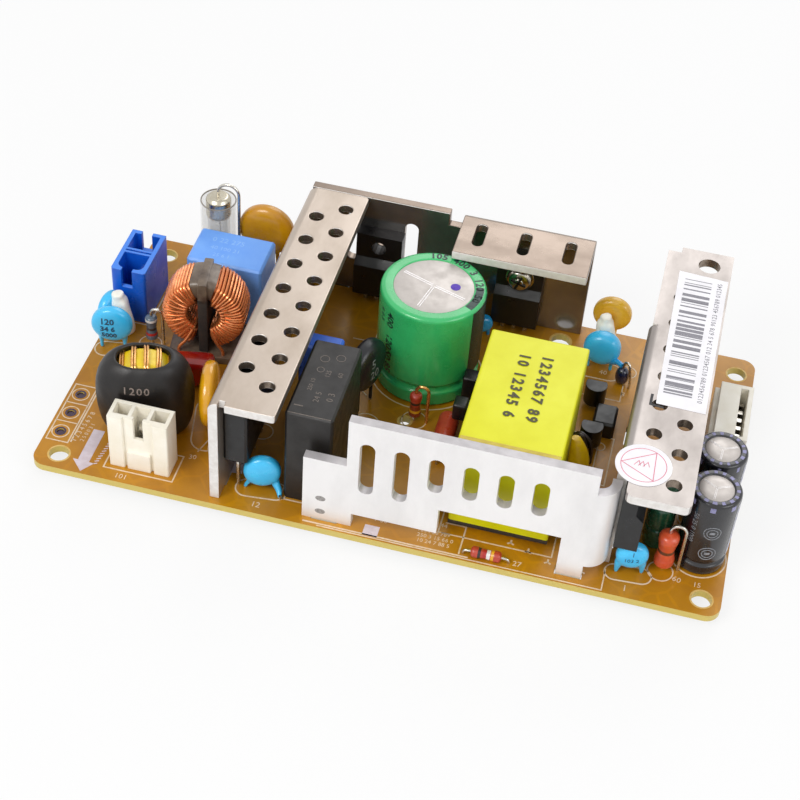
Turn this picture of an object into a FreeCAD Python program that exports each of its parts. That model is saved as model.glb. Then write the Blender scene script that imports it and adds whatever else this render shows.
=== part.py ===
import FreeCAD, Part
import math
import os
import Sketcher

# Power supply board: one board with folded heatsinks, wound parts, capacitors and connectors.
# Lengths are in millimetres and angles in degrees. Places named x and y are measured from the
# board's front left corner, heights from its upper face.

dimensions = {
    # board
    "board_length": 140.0,
    "board_depth": 74.7,
    "board_thickness": 1.6,
    "board_corner_radius": 3.0,
    "mount_hole_diameter": 4.0,
    "mount_hole_pitch_x": 131.2,
    "mount_hole_pitch_y": 65.5,
    "mount_hole_inset_x": 4.9,
    "mount_hole_inset_y": 3.9,
    "spare_pad_hole": 1.6,
    "spare_pad_x": 2.8,
    "spare_pad_y": 9.9,
    "spare_pad_pitch": 5.6,
    "small_hole_diameter": 2.6,
    "small_hole_x": 69.8,
    "small_hole_y": 33.8,
    "large_hole_diameter": 4.4,
    "large_hole_x": 97.0,
    "large_hole_y": 68.4,
    "solder_radius": 1.1,
    "solder_height": 1.4,
    "solder_tip_radius": 0.4,
    # sides of the regular prisms that stand for round forms
    "wide_sides": 24,
    "round_sides": 14,
    "hole_sides": 12,
    "bead_sides": 8,
    "wire_sides": 6,
    # folded aluminium sheet, shared by the four heatsinks
    "sheet_thickness": 2.0,
    "bend_radius": 1.0,
    "heatsink_height": 26.4,
    "tab_width": 5.0,
    "tab_inset": 4.0,
    "tab_long_inset": 18.0,
    "tab_depth": 3.8,
    "tab_slot_gap": 0.2,
    "vent_diameter": 3.1,
    "vent_pitch": 8.15,
    "vent_row_gap": 5.4,
    "slot_width": 3.0,
    # left heatsink
    "left_sink_x": 37.6,
    "left_sink_gap": 0.1,
    "left_sink_length": 70.0,
    "left_sink_width": 13.4,
    "left_sink_relief": 1.3,
    "left_sink_vent_x": 4.2,
    "left_sink_vent_y": 11.5,
    "left_sink_corner": 0.8,
    # rear heatsink
    "rear_sink_x": 38.2,
    "rear_sink_y": 73.7,
    "rear_sink_length": 62.6,
    "rear_sink_plain_length": 30.8,
    "rear_sink_gap": 3.0,
    "rear_sink_gap_drop": 3.2,
    "rear_sink_depth": 14.2,
    "rear_sink_slot_length": 7.4,
    "rear_sink_slot_width": 2.3,
    "rear_sink_slot_x": 38.3,
    "rear_sink_slot_pitch": 9.7,
    "rear_wall_slot_bottom": 8.5,
    "rear_wall_slot_top": 21.4,
    "rear_wall_slot_x": 9.6,
    "rear_wall_slot_pitch": 13.0,
    # front heatsink
    "front_sink_x": 56.5,
    "front_sink_y": 2.2,
    "front_sink_length": 60.3,
    "front_sink_low_length": 8.6,
    "front_sink_low_height": 16.8,
    "front_sink_top": 28.9,
    "front_sink_rise": 3.6,
    "front_sink_foot": 10.0,
    "front_sink_cut_start": 27.1,
    "front_sink_cut_length": 24.0,
    "front_sink_cut_height": 10.3,
    "front_sink_leg_length": 5.1,
    "front_sink_bend_radius": 4.2,
    "front_sink_wing": 1.0,
    "front_sink_wing_drop": 5.0,
    "front_sink_slot_x": 12.5,
    "front_sink_slot_pitch": 6.7,
    "front_sink_slot_top": 23.8,
    "front_sink_short_slot": 8.9,
    "front_sink_long_slot": 13.6,
    "front_sink_slots": 6,
    "front_sink_long_slots": 2,
    # right heatsink
    "right_sink_x": 115.4,
    "right_sink_y": 1.5,
    "right_sink_length": 74.6,
    "right_sink_width": 14.4,
    "right_sink_wall_start": 6.4,
    "right_sink_wall_length": 42.0,
    "right_sink_plate_inset": 0.6,
    "right_sink_front_step": 2.2,
    "right_sink_back_step": 3.4,
    "right_sink_back_step_depth": 1.8,
    "right_sink_corner": 1.4,
    "right_sink_vent_x": 5.1,
    "right_sink_vent_y": 4.9,
    "right_sink_large_vent": 4.6,
    "right_sink_large_vent_x": 9.6,
    "right_sink_large_vent_y": 70.0,
    # power devices in flat moulded packages
    "device_width": 10.2,
    "device_height": 15.8,
    "device_thickness": 4.6,
    "device_tab_height": 7.8,
    "device_tab_thickness": 3.0,
    "device_hole_diameter": 3.2,
    "device_hole_drop": 3.3,
    "device_lead_width": 0.9,
    "device_lead_thickness": 0.6,
    "device_lead_pitch": 2.54,
    "device_stand": 2.8,
    "switch_a_x": 54.4,
    "switch_b_x": 86.0,
    "diode_y": 9.6,
    "diode_stand": 8.5,
    "diode_lead_shift": 0.6,
    "bridge_y": 14.4,
    "bridge_width": 19.4,
    "bridge_height": 15.2,
    "bridge_thickness": 4.8,
    "bridge_stand": 8.4,
    "screw_head_diameter": 5.6,
    "screw_head_height": 2.2,
    "screw_shank_diameter": 2.9,
    # inlet connector
    "inlet_x": 15.7,
    "inlet_y": 4.1,
    "inlet_length": 12.5,
    "inlet_depth": 5.3,
    "inlet_height": 13.7,
    "inlet_wall": 0.8,
    "inlet_floor": 3.0,
    "inlet_front_slot": 2.0,
    "inlet_front_slot_depth": 5.6,
    "inlet_latch_width": 4.8,
    "inlet_latch_height": 4.6,
    "inlet_rib": 0.7,
    "inlet_pillar": 3.2,
    "inlet_cells": 3,
    "inlet_pin_rise": 7.0,
    # blue connector
    "header_x": 0.7,
    "header_y": 46.2,
    "header_length": 13.8,
    "header_width": 7.7,
    "header_height": 14.0,
    "header_wall": 1.0,
    "header_floor": 3.0,
    "header_divider": 1.6,
    "header_slot_width": 2.4,
    "header_slot_depth": 4.6,
    "header_slot_shift": 0.3,
    "header_groove_width": 0.5,
    "header_groove_depth": 4.7,
    "header_well_corner": 1.5,
    "header_edge": 0.6,
    "header_pin_rise": 8.0,
    "header_foot_cut": 2.2,
    "header_foot_cut_height": 6.0,
    # output connector
    "output_x": 131.6,
    "output_y": 39.0,
    "output_length": 16.3,
    "output_width": 7.8,
    "output_height": 10.0,
    "output_wall": 1.0,
    "output_floor": 2.4,
    "output_slot_width": 1.6,
    "output_ways": 6,
    "output_pin_rise": 6.5,
    "pin_width": 1.0,
    # black sleeved choke
    "choke_x": 19.1,
    "choke_y": 16.9,
    "choke_turn": 15.0,
    "choke_core_diameter": 15.8,
    "choke_core_bore": 7.8,
    "choke_core_depth": 6.4,
    "choke_turn_chamfer": 1.6,
    "choke_wire": 0.9,
    "choke_turns": 12,
    "choke_turn_width": 1.8,
    "choke_sleeve_wall": 0.4,
    "choke_sleeve_length": 20.2,
    "choke_sleeve_depth": 12.4,
    "choke_mouth_length": 11.8,
    "choke_height": 19.6,
    "choke_shoulder": 3.4,
    "choke_foot_length": 9.0,
    "choke_foot_depth": 6.0,
    # common mode choke
    "filter_x": 23.0,
    "filter_y": 44.0,
    "filter_turn": 8.0,
    "filter_core_diameter": 15.2,
    "filter_core_bore": 9.4,
    "filter_core_depth": 6.2,
    "filter_wire": 1.5,
    "filter_turns": 12,
    "filter_turn_width": 1.1,
    "filter_turn_chamfer": 1.3,
    "filter_first_turn": 28.5,
    "filter_rise": 2.3,
    "filter_divider": 2.0,
    "filter_base_length": 15.0,
    "filter_base_depth": 12.0,
    "filter_base_height": 1.8,
    # box capacitors
    "line_cap_x": 15.6,
    "line_cap_y": 52.6,
    "line_cap_length": 16.8,
    "line_cap_depth": 11.2,
    "line_cap_height": 15.6,
    "small_box_x": 47.2,
    "small_box_y": 30.6,
    "small_box_length": 8.6,
    "small_box_depth": 4.6,
    "small_box_height": 18.5,
    "box_edge": 0.5,
    # relay
    "relay_x": 51.6,
    "relay_y": 5.9,
    "relay_width": 9.6,
    "relay_depth": 21.8,
    "relay_height": 24.0,
    "relay_edge": 0.5,
    "relay_pin_span_x": 4.8,
    "relay_pin_span_y": 17.4,
    # bulk capacitor
    "bulk_x": 70.5,
    "bulk_y": 50.2,
    "bulk_diameter": 22.2,
    "bulk_height": 24.2,
    "bulk_window": 16.8,
    "bulk_sleeve": 0.4,
    "bulk_rim": 1.4,
    "bulk_groove_height": 3.4,
    "bulk_groove_depth": 0.9,
    "bulk_groove_width": 2.0,
    # output capacitors
    "output_cap_x": 134.2,
    "output_cap_y": 14.6,
    "output_cap_pitch": 10.7,
    "output_cap_diameter": 10.0,
    "output_cap_height": 20.0,
    "output_cap_window": 6.8,
    "output_cap_sleeve": 0.25,
    "output_cap_rim": 0.8,
    # transformer
    "transformer_x": 94.9,
    "transformer_y": 23.6,
    "transformer_width": 20.0,
    "transformer_depth": 32.8,
    "transformer_height": 25.2,
    "transformer_rise": 1.8,
    "transformer_tape": 0.8,
    "transformer_edge": 1.0,
    "bobbin_lip": 2.6,
    "bobbin_base": 4.6,
    "bobbin_lip_depth": 8.0,
    # disc components
    "disc_edge": 1.3,
    "wide_disc": 8.0,
    "disc_leg_radius": 0.5,
    "disc_leg_pitch": 5.0,
    "small_leg_pitch": 2.5,
    "left_disc_x": 4.2,
    "left_disc_y": 36.8,
    "left_disc_diameter": 8.7,
    "left_disc_thickness": 3.4,
    "left_disc_rise": 7.0,
    "left_disc_turn": 10.0,
    "far_left_disc_x": 1.7,
    "far_left_disc_y": 42.2,
    "far_left_disc_diameter": 7.2,
    "far_left_disc_thickness": 3.2,
    "far_left_disc_turn": 76.0,
    "far_left_disc_rise": 6.6,
    "front_disc_x": 46.9,
    "front_disc_y": 7.0,
    "front_disc_diameter": 7.4,
    "front_disc_thickness": 3.2,
    "front_disc_rise": 5.0,
    "front_disc_turn": 14.0,
    "right_disc_x": 121.4,
    "right_disc_y": 6.6,
    "right_disc_diameter": 6.2,
    "right_disc_thickness": 3.0,
    "right_disc_rise": 5.2,
    "right_disc_turn": 12.0,
    "rear_disc_x": 106.5,
    "rear_disc_y": 62.2,
    "rear_disc_diameter": 8.0,
    "rear_disc_thickness": 4.4,
    "rear_disc_rise": 6.2,
    "rear_disc_turn": 0.0,
    "small_disc_x": 79.8,
    "small_disc_y": 65.0,
    "small_disc_diameter": 4.0,
    "small_disc_thickness": 2.8,
    "small_disc_rise": 3.6,
    "small_disc_turn": 20.0,
    "varistor_x": 28.4,
    "varistor_y": 70.1,
    "varistor_diameter": 12.6,
    "varistor_thickness": 4.4,
    "varistor_rise": 13.2,
    "varistor_turn": 0.0,
    "edge_disc_x": 31.2,
    "edge_disc_y": 21.4,
    "edge_disc_diameter": 13.6,
    "edge_disc_thickness": 4.0,
    "edge_disc_rise": 8.4,
    "edge_disc_turn": 102.0,
    "ochre_disc_x": 107.0,
    "ochre_disc_y": 71.2,
    "ochre_disc_diameter": 8.4,
    "ochre_disc_thickness": 3.4,
    "ochre_disc_rise": 8.6,
    "ochre_disc_turn": 0.0,
    "thermistor_x": 60.4,
    "thermistor_y": 35.6,
    "thermistor_diameter": 11.6,
    "thermistor_thickness": 4.8,
    "thermistor_rise": 12.0,
    "thermistor_turn": 72.0,
    "red_film_x": 23.4,
    "red_film_y": 31.6,
    "red_film_length": 10.6,
    "red_film_depth": 4.8,
    "red_film_height": 7.6,
    "red_film_turn": 12.0,
    # beads of white sealant
    "sealant_left_x": 3.8,
    "sealant_left_y": 42.2,
    "sealant_left_diameter": 5.6,
    "sealant_left_height": 11.0,
    "sealant_rear_x": 106.3,
    "sealant_rear_y": 66.9,
    "sealant_rear_diameter": 4.6,
    "sealant_rear_height": 11.4,
    # fuse standing on end
    "fuse_x": 17.9,
    "fuse_y": 68.0,
    "fuse_glass_diameter": 5.0,
    "fuse_cap_diameter": 5.6,
    "fuse_cap_length": 5.2,
    "fuse_length": 19.0,
    "fuse_rise": 2.6,
    "fuse_wall": 0.6,
    "fuse_sleeve_diameter": 8.0,
    "fuse_sleeve_wall": 0.3,
    "fuse_sleeve_length": 20.6,
    "fuse_lead_reach": 4.7,
    # resistors and small parts
    "lead_radius": 0.35,
    "lead_bend_steps": 6,
    "bead_bulb_share": 0.34,
    "bead_waist_share": 0.82,
    "standing_resistor_diameter": 2.6,
    "standing_resistor_length": 6.6,
    "standing_resistor_rise": 1.4,
    "banded_x": 11.6,
    "banded_y": 40.6,
    "banded_reach": 2.6,
    "loop_resistor_x": 71.6,
    "loop_resistor_y": 34.6,
    "loop_resistor_reach": 2.6,
    "power_resistor_x": 79.0,
    "power_resistor_y": 30.6,
    "power_resistor_diameter": 4.4,
    "power_resistor_length": 11.0,
    "orange_resistor_x": 127.6,
    "orange_resistor_y": 9.8,
    "orange_resistor_diameter": 4.0,
    "orange_resistor_length": 9.2,
    "orange_resistor_rise": 0.9,
    "orange_resistor_reach": 3.0,
    "lying_resistor_x": 93.9,
    "lying_resistor_y": 1.9,
    "lying_resistor_diameter": 2.3,
    "lying_resistor_length": 6.3,
    "green_choke_x": 125.3,
    "green_choke_y": 16.0,
    "green_choke_diameter": 5.6,
    "green_choke_height": 17.0,
    "coupler_x": 110.4,
    "coupler_y": 44.6,
    "coupler_length": 4.8,
    "coupler_width": 6.4,
    "coupler_height": 4.0,
    "small_transistor_front_x": 108.3,
    "small_transistor_front_y": 38.2,
    "small_transistor_rear_x": 107.2,
    "small_transistor_rear_y": 50.6,
    "small_transistor_radius": 2.3,
    "small_transistor_height": 4.6,
    "small_transistor_rise": 1.5,
    "axial_diode_x": 111.9,
    "axial_diode_y": 59.0,
    "axial_diode_diameter": 3.0,
    "axial_diode_length": 4.6,
}

doc = FreeCAD.newDocument("power_supply_board")
sheet = doc.addObject("Spreadsheet::Sheet", "sizes")
for row, (alias, number) in enumerate(dimensions.items(), start=1):
    sheet.set(f"A{row}", alias)
    sheet.set(f"B{row}", str(number))
    sheet.setAlias(f"B{row}", alias)
doc.recompute()


# A size carries its number and the sheet formula that it comes from.
class Size:
    def __init__(self, number, formula):
        self.number = number
        self.formula = formula

    def __add__(self, other):
        other = as_size(other)
        return Size(self.number + other.number, f"({self.formula} + {other.formula})")

    def __sub__(self, other):
        other = as_size(other)
        return Size(self.number - other.number, f"({self.formula} - {other.formula})")

    def __mul__(self, other):
        other = as_size(other)
        return Size(self.number * other.number, f"({self.formula} * {other.formula})")

    def __truediv__(self, other):
        other = as_size(other)
        return Size(self.number / other.number, f"({self.formula} / {other.formula})")

    def __neg__(self):
        return Size(-self.number, f"(0 - {self.formula})")

    def __radd__(self, other):
        return as_size(other) + self

    def __rsub__(self, other):
        return as_size(other) - self

    def __rmul__(self, other):
        return as_size(other) * self


def as_size(value):
    return value if isinstance(value, Size) else Size(float(value), str(value))


def size(alias):
    return Size(float(sheet.get(alias)), f"sizes.{alias}")


def sizes(*aliases):
    return [size(alias) for alias in aliases]


def cosine(angle):
    return Size(math.cos(math.radians(angle.number)), f"cos({angle.formula} * 1 deg)")


def sine(angle):
    return Size(math.sin(math.radians(angle.number)), f"sin({angle.formula} * 1 deg)")


# Document helpers: every one binds what it is given to the sheet.
parts = []
solder_points = []
pins = []
lead_parts = []
board_thickness = size("board_thickness")
origin_x = size("mount_hole_inset_x") + size("mount_hole_pitch_x") / 2
origin_y = size("mount_hole_inset_y") + size("mount_hole_pitch_y") / 2


def bind(item, **values):
    for name, value in values.items():
        value = as_size(value)
        setattr(item, name, value.number)
        item.setExpression(name, value.formula)
    return item


def move(item, x=0, y=0, z=0, turn=None):
    base = [as_size(value) for value in (x, y, z)]
    item.Placement.Base = FreeCAD.Vector(*[value.number for value in base])
    for axis, value in zip("xyz", base):
        item.setExpression(f"Placement.Base.{axis}", value.formula)
    if turn is not None:
        item.setExpression("Placement.Rotation.Angle", as_size(turn).formula)
    return item


def finish(item, label, x=0, y=0, z=0, turn=None):
    item.Label = label
    parts.append(item)
    return move(item, as_size(x) - origin_x, as_size(y) - origin_y, board_thickness + z, turn)


def block(name, length, width, height, x=0, y=0, z=0):
    item = doc.addObject("Part::Box", name)
    bind(item, Length=length, Width=width, Height=height)
    return move(item, x, y, z)


# Round forms that repeat are regular prisms; their numbers of sides are in the sheet.
def prism(name, radius, height, x=0, y=0, z=0, sides="round_sides"):
    item = doc.addObject("Part::Prism", name)
    item.Polygon = int(dimensions[sides])
    item.setExpression("Polygon", f"sizes.{sides}")
    bind(item, Circumradius=radius, Height=height)
    return move(item, x, y, z)


# The corner radius of a prism whose flats keep clear of a given radius.
def clear_of(radius, sides="round_sides"):
    return as_size(radius) / cosine(as_size(180) / size(sides))


# A prism with a level axis along y, centred on that axis and at the height z.
def level_prism(name, radius, depth, z=0, x=0, sides="round_sides"):
    item = prism(name, radius, depth, sides=sides)
    item.Placement.Rotation = FreeCAD.Rotation(FreeCAD.Vector(1, 0, 0), 90)
    return move(item, x, depth / 2, z)


def fuse(name, shapes):
    item = doc.addObject("Part::MultiFuse", name)
    item.Shapes = shapes
    return item


def group(name, shapes):
    item = doc.addObject("Part::Compound", name)
    item.Links = shapes
    return item


def cut(name, base, tools):
    item = doc.addObject("Part::Cut", name)
    item.Base = base
    item.Tool = tools[0] if len(tools) == 1 else fuse(name + "_tools", tools)
    return item


def bevel(name, base, width, keep):
    item = doc.addObject("Part::Chamfer", name)
    doc.recompute()
    item.Base = base
    item.Edges = [(number, width.number, width.number)
                  for number, edge in enumerate(base.Shape.Edges, start=1) if keep(edge)]
    return item


# Both rims of a level disc are bevelled.
def rimmed_disc(name, radius, depth, z, edge, sides="round_sides"):
    disc = level_prism(name + "_blank", radius, depth, z, sides=sides)
    return bevel(name, disc, edge, lambda item: near(abs(middle(item).y), depth / 2))


# Both ends of an upright prism are bevelled.
def rimmed_prism(name, radius, height, z, edge, sides="round_sides"):
    blank = prism(name + "_blank", radius, height, 0, 0, z, sides)
    return bevel(name, blank, edge, lambda item: near(middle(item).z, z) or near(middle(item).z, z + height))


def tube(name, outer, inner, height, z=0, sides="round_sides"):
    return cut(name, prism(name + "_outside", outer, height, 0, 0, z, sides),
               [prism(name + "_inside", inner, height, 0, 0, z, sides)])


def new_body(name):
    return doc.addObject("PartDesign::Body", name)


def new_sketch(body, role, name, offset=0):
    sketch = body.newObject("Sketcher::SketchObject", name)
    plane = [item for item in body.Origin.OriginFeatures if item.Role == role][0]
    sketch.AttachmentSupport = [(plane, "")]
    sketch.MapMode = "FlatFace"
    sketch.setExpression("AttachmentOffset.Base.z", as_size(offset).formula)
    return sketch


def hold(sketch, geometry, vertex, x, y):
    for kind, value in (("DistanceX", as_size(x)), ("DistanceY", as_size(y))):
        constraint = Sketcher.Constraint(kind, -1, 1, geometry, vertex, value.number)
        number = sketch.addConstraint(constraint)
        name = f"{kind}_{geometry}_{vertex}"
        sketch.renameConstraint(number, name)
        sketch.setExpression(f"Constraints.{name}", value.formula)


def set_radius(sketch, geometry, radius):
    number = sketch.addConstraint(Sketcher.Constraint("Radius", geometry, radius.number))
    name = f"Radius_{geometry}"
    sketch.renameConstraint(number, name)
    sketch.setExpression(f"Constraints.{name}", radius.formula)


def add_outline(sketch, points):
    points = [(as_size(x), as_size(y)) for x, y in points]
    corners = [FreeCAD.Vector(x.number, y.number, 0) for x, y in points]
    first = sketch.GeometryCount
    count = len(points)
    for index in range(count):
        sketch.addGeometry(Part.LineSegment(corners[index], corners[(index + 1) % count]), False)
    for index in range(count):
        following = first + (index + 1) % count
        sketch.addConstraint(Sketcher.Constraint("Coincident", first + index, 2, following, 1))
    for index, (x, y) in enumerate(points):
        hold(sketch, first + index, 1, x, y)


def add_circle(sketch, x, y, radius):
    x, y, radius = as_size(x), as_size(y), as_size(radius)
    centre = FreeCAD.Vector(x.number, y.number, 0)
    number = sketch.addGeometry(Part.Circle(centre, FreeCAD.Vector(0, 0, 1), radius.number), False)
    hold(sketch, number, 3, x, y)
    set_radius(sketch, number, radius)


# A tool for a slot with round ends, for a wall that faces y or, when flat, for a level sheet.
def slot_tool(name, x, low, high, radius, flat_z=None):
    depth = size("sheet_thickness") * 3
    ends = (low + radius, high - radius)
    if flat_z is None:
        caps = [level_prism(f"{name}_end_{index}", radius, depth, end, x, "hole_sides")
                for index, end in enumerate(ends)]
        middle_block = block(name + "_middle", radius * 2, depth, ends[1] - ends[0], x - radius, -depth / 2,
                             ends[0])
    else:
        start = flat_z - depth / 2
        caps = [prism(f"{name}_end_{index}", radius, depth, x, end, start, "hole_sides")
                for index, end in enumerate(ends)]
        middle_block = block(name + "_middle", radius * 2, ends[1] - ends[0], depth, x - radius, ends[0],
                             start)
    return fuse(name, caps + [middle_block])


def add_pad(body, sketch, name, length, turned=False):
    item = body.newObject("PartDesign::Pad", name)
    item.Profile = sketch
    item.Reversed = turned
    return bind(item, Length=length)


def add_pocket(body, sketch, name, length, turned=False):
    doc.recompute()
    before = body.Shape.Volume
    item = body.newObject("PartDesign::Pocket", name)
    item.Profile = sketch
    item.Reversed = turned
    bind(item, Length=length)
    doc.recompute()
    if body.Shape.Volume >= before:
        raise ValueError(f"{name} cuts nothing")
    return item


def add_round(body, name, radius, keep):
    doc.recompute()
    tip = body.Tip
    picked = [f"Edge{number}" for number, edge in enumerate(tip.Shape.Edges, start=1) if keep(edge)]
    item = body.newObject("PartDesign::Fillet", name)
    item.Base = (tip, picked)
    return bind(item, Radius=radius)


def near(value, target, tolerance=0.001):
    return abs(value - as_size(target).number) < tolerance


def runs_along(edge, axis):
    ends = [vertex.Point for vertex in edge.Vertexes]
    if len(ends) != 2 or edge.Curve.TypeId != "Part::GeomLine":
        return False
    step = ends[1] - ends[0]
    return abs(getattr(step, axis)) > 0.999 * step.Length


def middle(edge):
    box = edge.BoundBox
    return FreeCAD.Vector(box.Center)


# Board with its mounting holes, spare pads and the slots that the heatsink tabs pass through.
tab_width, tab_depth, tab_inset, tab_long_inset, tab_slot_gap, sheet_thickness = sizes(
    "tab_width", "tab_depth", "tab_inset", "tab_long_inset", "tab_slot_gap", "sheet_thickness")


# The left heatsink ends just short of the rear one's wall.
def left_sink_place():
    x, length, rear_y, gap = sizes("left_sink_x", "left_sink_length", "rear_sink_y", "left_sink_gap")
    return x, rear_y - sheet_thickness - gap - length, length


def left_sink_tabs():
    x, y, length = left_sink_place()
    return [(x, y + tab_inset, "y"), (x, y + length - tab_width - tab_inset, "y")]


def rear_sink_tabs():
    x, y, length = sizes("rear_sink_x", "rear_sink_y", "rear_sink_length")
    wall_y = y - sheet_thickness
    return [(x + tab_inset, wall_y, "x"), (x + length - tab_width - tab_long_inset, wall_y, "x")]


def front_sink_tabs():
    x, y, cut_start, cut_length = sizes(
        "front_sink_x", "front_sink_y", "front_sink_cut_start", "front_sink_cut_length")
    return [(x + tab_inset / 2, y, "x"), (x + cut_start + cut_length, y, "x")]


def right_sink_tabs():
    x, y, start, length = sizes(
        "right_sink_x", "right_sink_y", "right_sink_wall_start", "right_sink_wall_length")
    return [(x, y + start + tab_inset, "y"), (x, y + start + length - tab_width - tab_inset, "y")]


def build_board():
    length, depth, corner = sizes("board_length", "board_depth", "board_corner_radius")
    inset_x, inset_y, pitch_x, pitch_y, hole = sizes(
        "mount_hole_inset_x", "mount_hole_inset_y", "mount_hole_pitch_x", "mount_hole_pitch_y",
        "mount_hole_diameter")
    body = new_body("board_body")
    outline = new_sketch(body, "XY_Plane", "board_outline")
    add_outline(outline, [(0, 0), (length, 0), (length, depth), (0, depth)])
    add_pad(body, outline, "board_sheet", board_thickness)
    add_round(body, "board_corners", corner, lambda edge: runs_along(edge, "z"))
    holes = new_sketch(body, "XY_Plane", "board_holes")
    for x in (inset_x, inset_x + pitch_x):
        for y in (inset_y, inset_y + pitch_y):
            add_circle(holes, x, y, hole / 2)
    spare_x, spare_y, spare_pitch, spare_hole = sizes(
        "spare_pad_x", "spare_pad_y", "spare_pad_pitch", "spare_pad_hole")
    small = [(spare_x, spare_y + spare_pitch * index, spare_hole) for index in range(3)]
    small += [sizes(name + "_x", name + "_y", name + "_diameter") for name in ("small_hole", "large_hole")]
    drills = [prism(f"board_drill_{index}", diameter / 2, board_thickness * 2, x, y, -board_thickness / 2,
                    "hole_sides") for index, (x, y, diameter) in enumerate(small)]
    for x, y, way in left_sink_tabs() + rear_sink_tabs() + front_sink_tabs() + right_sink_tabs():
        along, across = (tab_width, sheet_thickness) if way == "x" else (sheet_thickness, tab_width)
        low_x, low_y = x - tab_slot_gap, y - tab_slot_gap
        high_x, high_y = x + along + tab_slot_gap, y + across + tab_slot_gap
        add_outline(holes, [(low_x, low_y), (high_x, low_y), (high_x, high_y), (low_x, high_y)])
    add_pocket(body, holes, "board_openings", board_thickness, turned=True)
    finish(cut("board_drilled", body, drills), "circuit_board", 0, 0, -board_thickness)


# Heatsinks, each folded from one sheet. A wall stands on the board and its tabs pass through it.
heatsink_height, bend_radius = sizes("heatsink_height", "bend_radius")


def add_tabs(body, sketch, tabs, x, y):
    for tab_x, tab_y, way in tabs:
        along, across = (tab_width, sheet_thickness) if way == "x" else (sheet_thickness, tab_width)
        low_x, low_y = tab_x - x, tab_y - y
        add_outline(sketch, [(low_x, low_y), (low_x + along, low_y),
                             (low_x + along, low_y + across), (low_x, low_y + across)])
    add_pad(body, sketch, sketch.Name + "_pad", tab_depth, turned=True)


def vent_places(first_x, first_y, limit_y):
    pitch, row_gap = sizes("vent_pitch", "vent_row_gap")
    places = []
    y = first_y
    while y.number < limit_y.number:
        step = len(places)
        x = first_x if step % 2 == 0 else first_x + row_gap
        places.append((x, y))
        y = first_y + pitch / 2 * (step + 1)
    return places


def vent_tools(name, places):
    low = heatsink_height - sheet_thickness * 2
    return [prism(f"{name}_{index}", size("vent_diameter") / 2, sheet_thickness * 3, x, y, low, "hole_sides")
            for index, (x, y) in enumerate(places)]


def build_left_sink():
    x, y, length = left_sink_place()
    width = size("left_sink_width")
    relief, corner, vent_x, vent_y = sizes(
        "left_sink_relief", "left_sink_corner", "left_sink_vent_x", "left_sink_vent_y")
    body = new_body("left_sink_body")
    profile = new_sketch(body, "XZ_Plane", "left_sink_profile")
    inner = heatsink_height - sheet_thickness
    add_outline(profile, [(0, 0), (sheet_thickness, 0), (sheet_thickness, inner), (width, inner),
                          (width, heatsink_height), (0, heatsink_height)])
    add_pad(body, profile, "left_sink_sheet", length, turned=True)
    add_round(body, "left_sink_bend", bend_radius + sheet_thickness / 2,
              lambda edge: runs_along(edge, "y") and near(middle(edge).x, 0)
              and near(middle(edge).z, heatsink_height))
    add_round(body, "left_sink_corners", corner,
              lambda edge: runs_along(edge, "z") and near(middle(edge).x, width))
    notch = new_sketch(body, "XY_Plane", "left_sink_notch", heatsink_height)
    add_outline(notch, [(sheet_thickness, 0), (sheet_thickness + relief, 0),
                        (sheet_thickness + relief, relief), (sheet_thickness, relief)])
    add_pocket(body, notch, "left_sink_relief_cut", sheet_thickness)
    tabs = new_sketch(body, "XY_Plane", "left_sink_tabs")
    add_tabs(body, tabs, left_sink_tabs(), x, y)
    row_gap, pitch = sizes("vent_row_gap", "vent_pitch")
    places = vent_places(vent_x, vent_y, length - pitch / 2)
    places.append((vent_x + row_gap, vent_y - pitch / 2))
    finish(cut("left_sink_vented", body, vent_tools("left_vent", places)), "left_heatsink", x, y)


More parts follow.
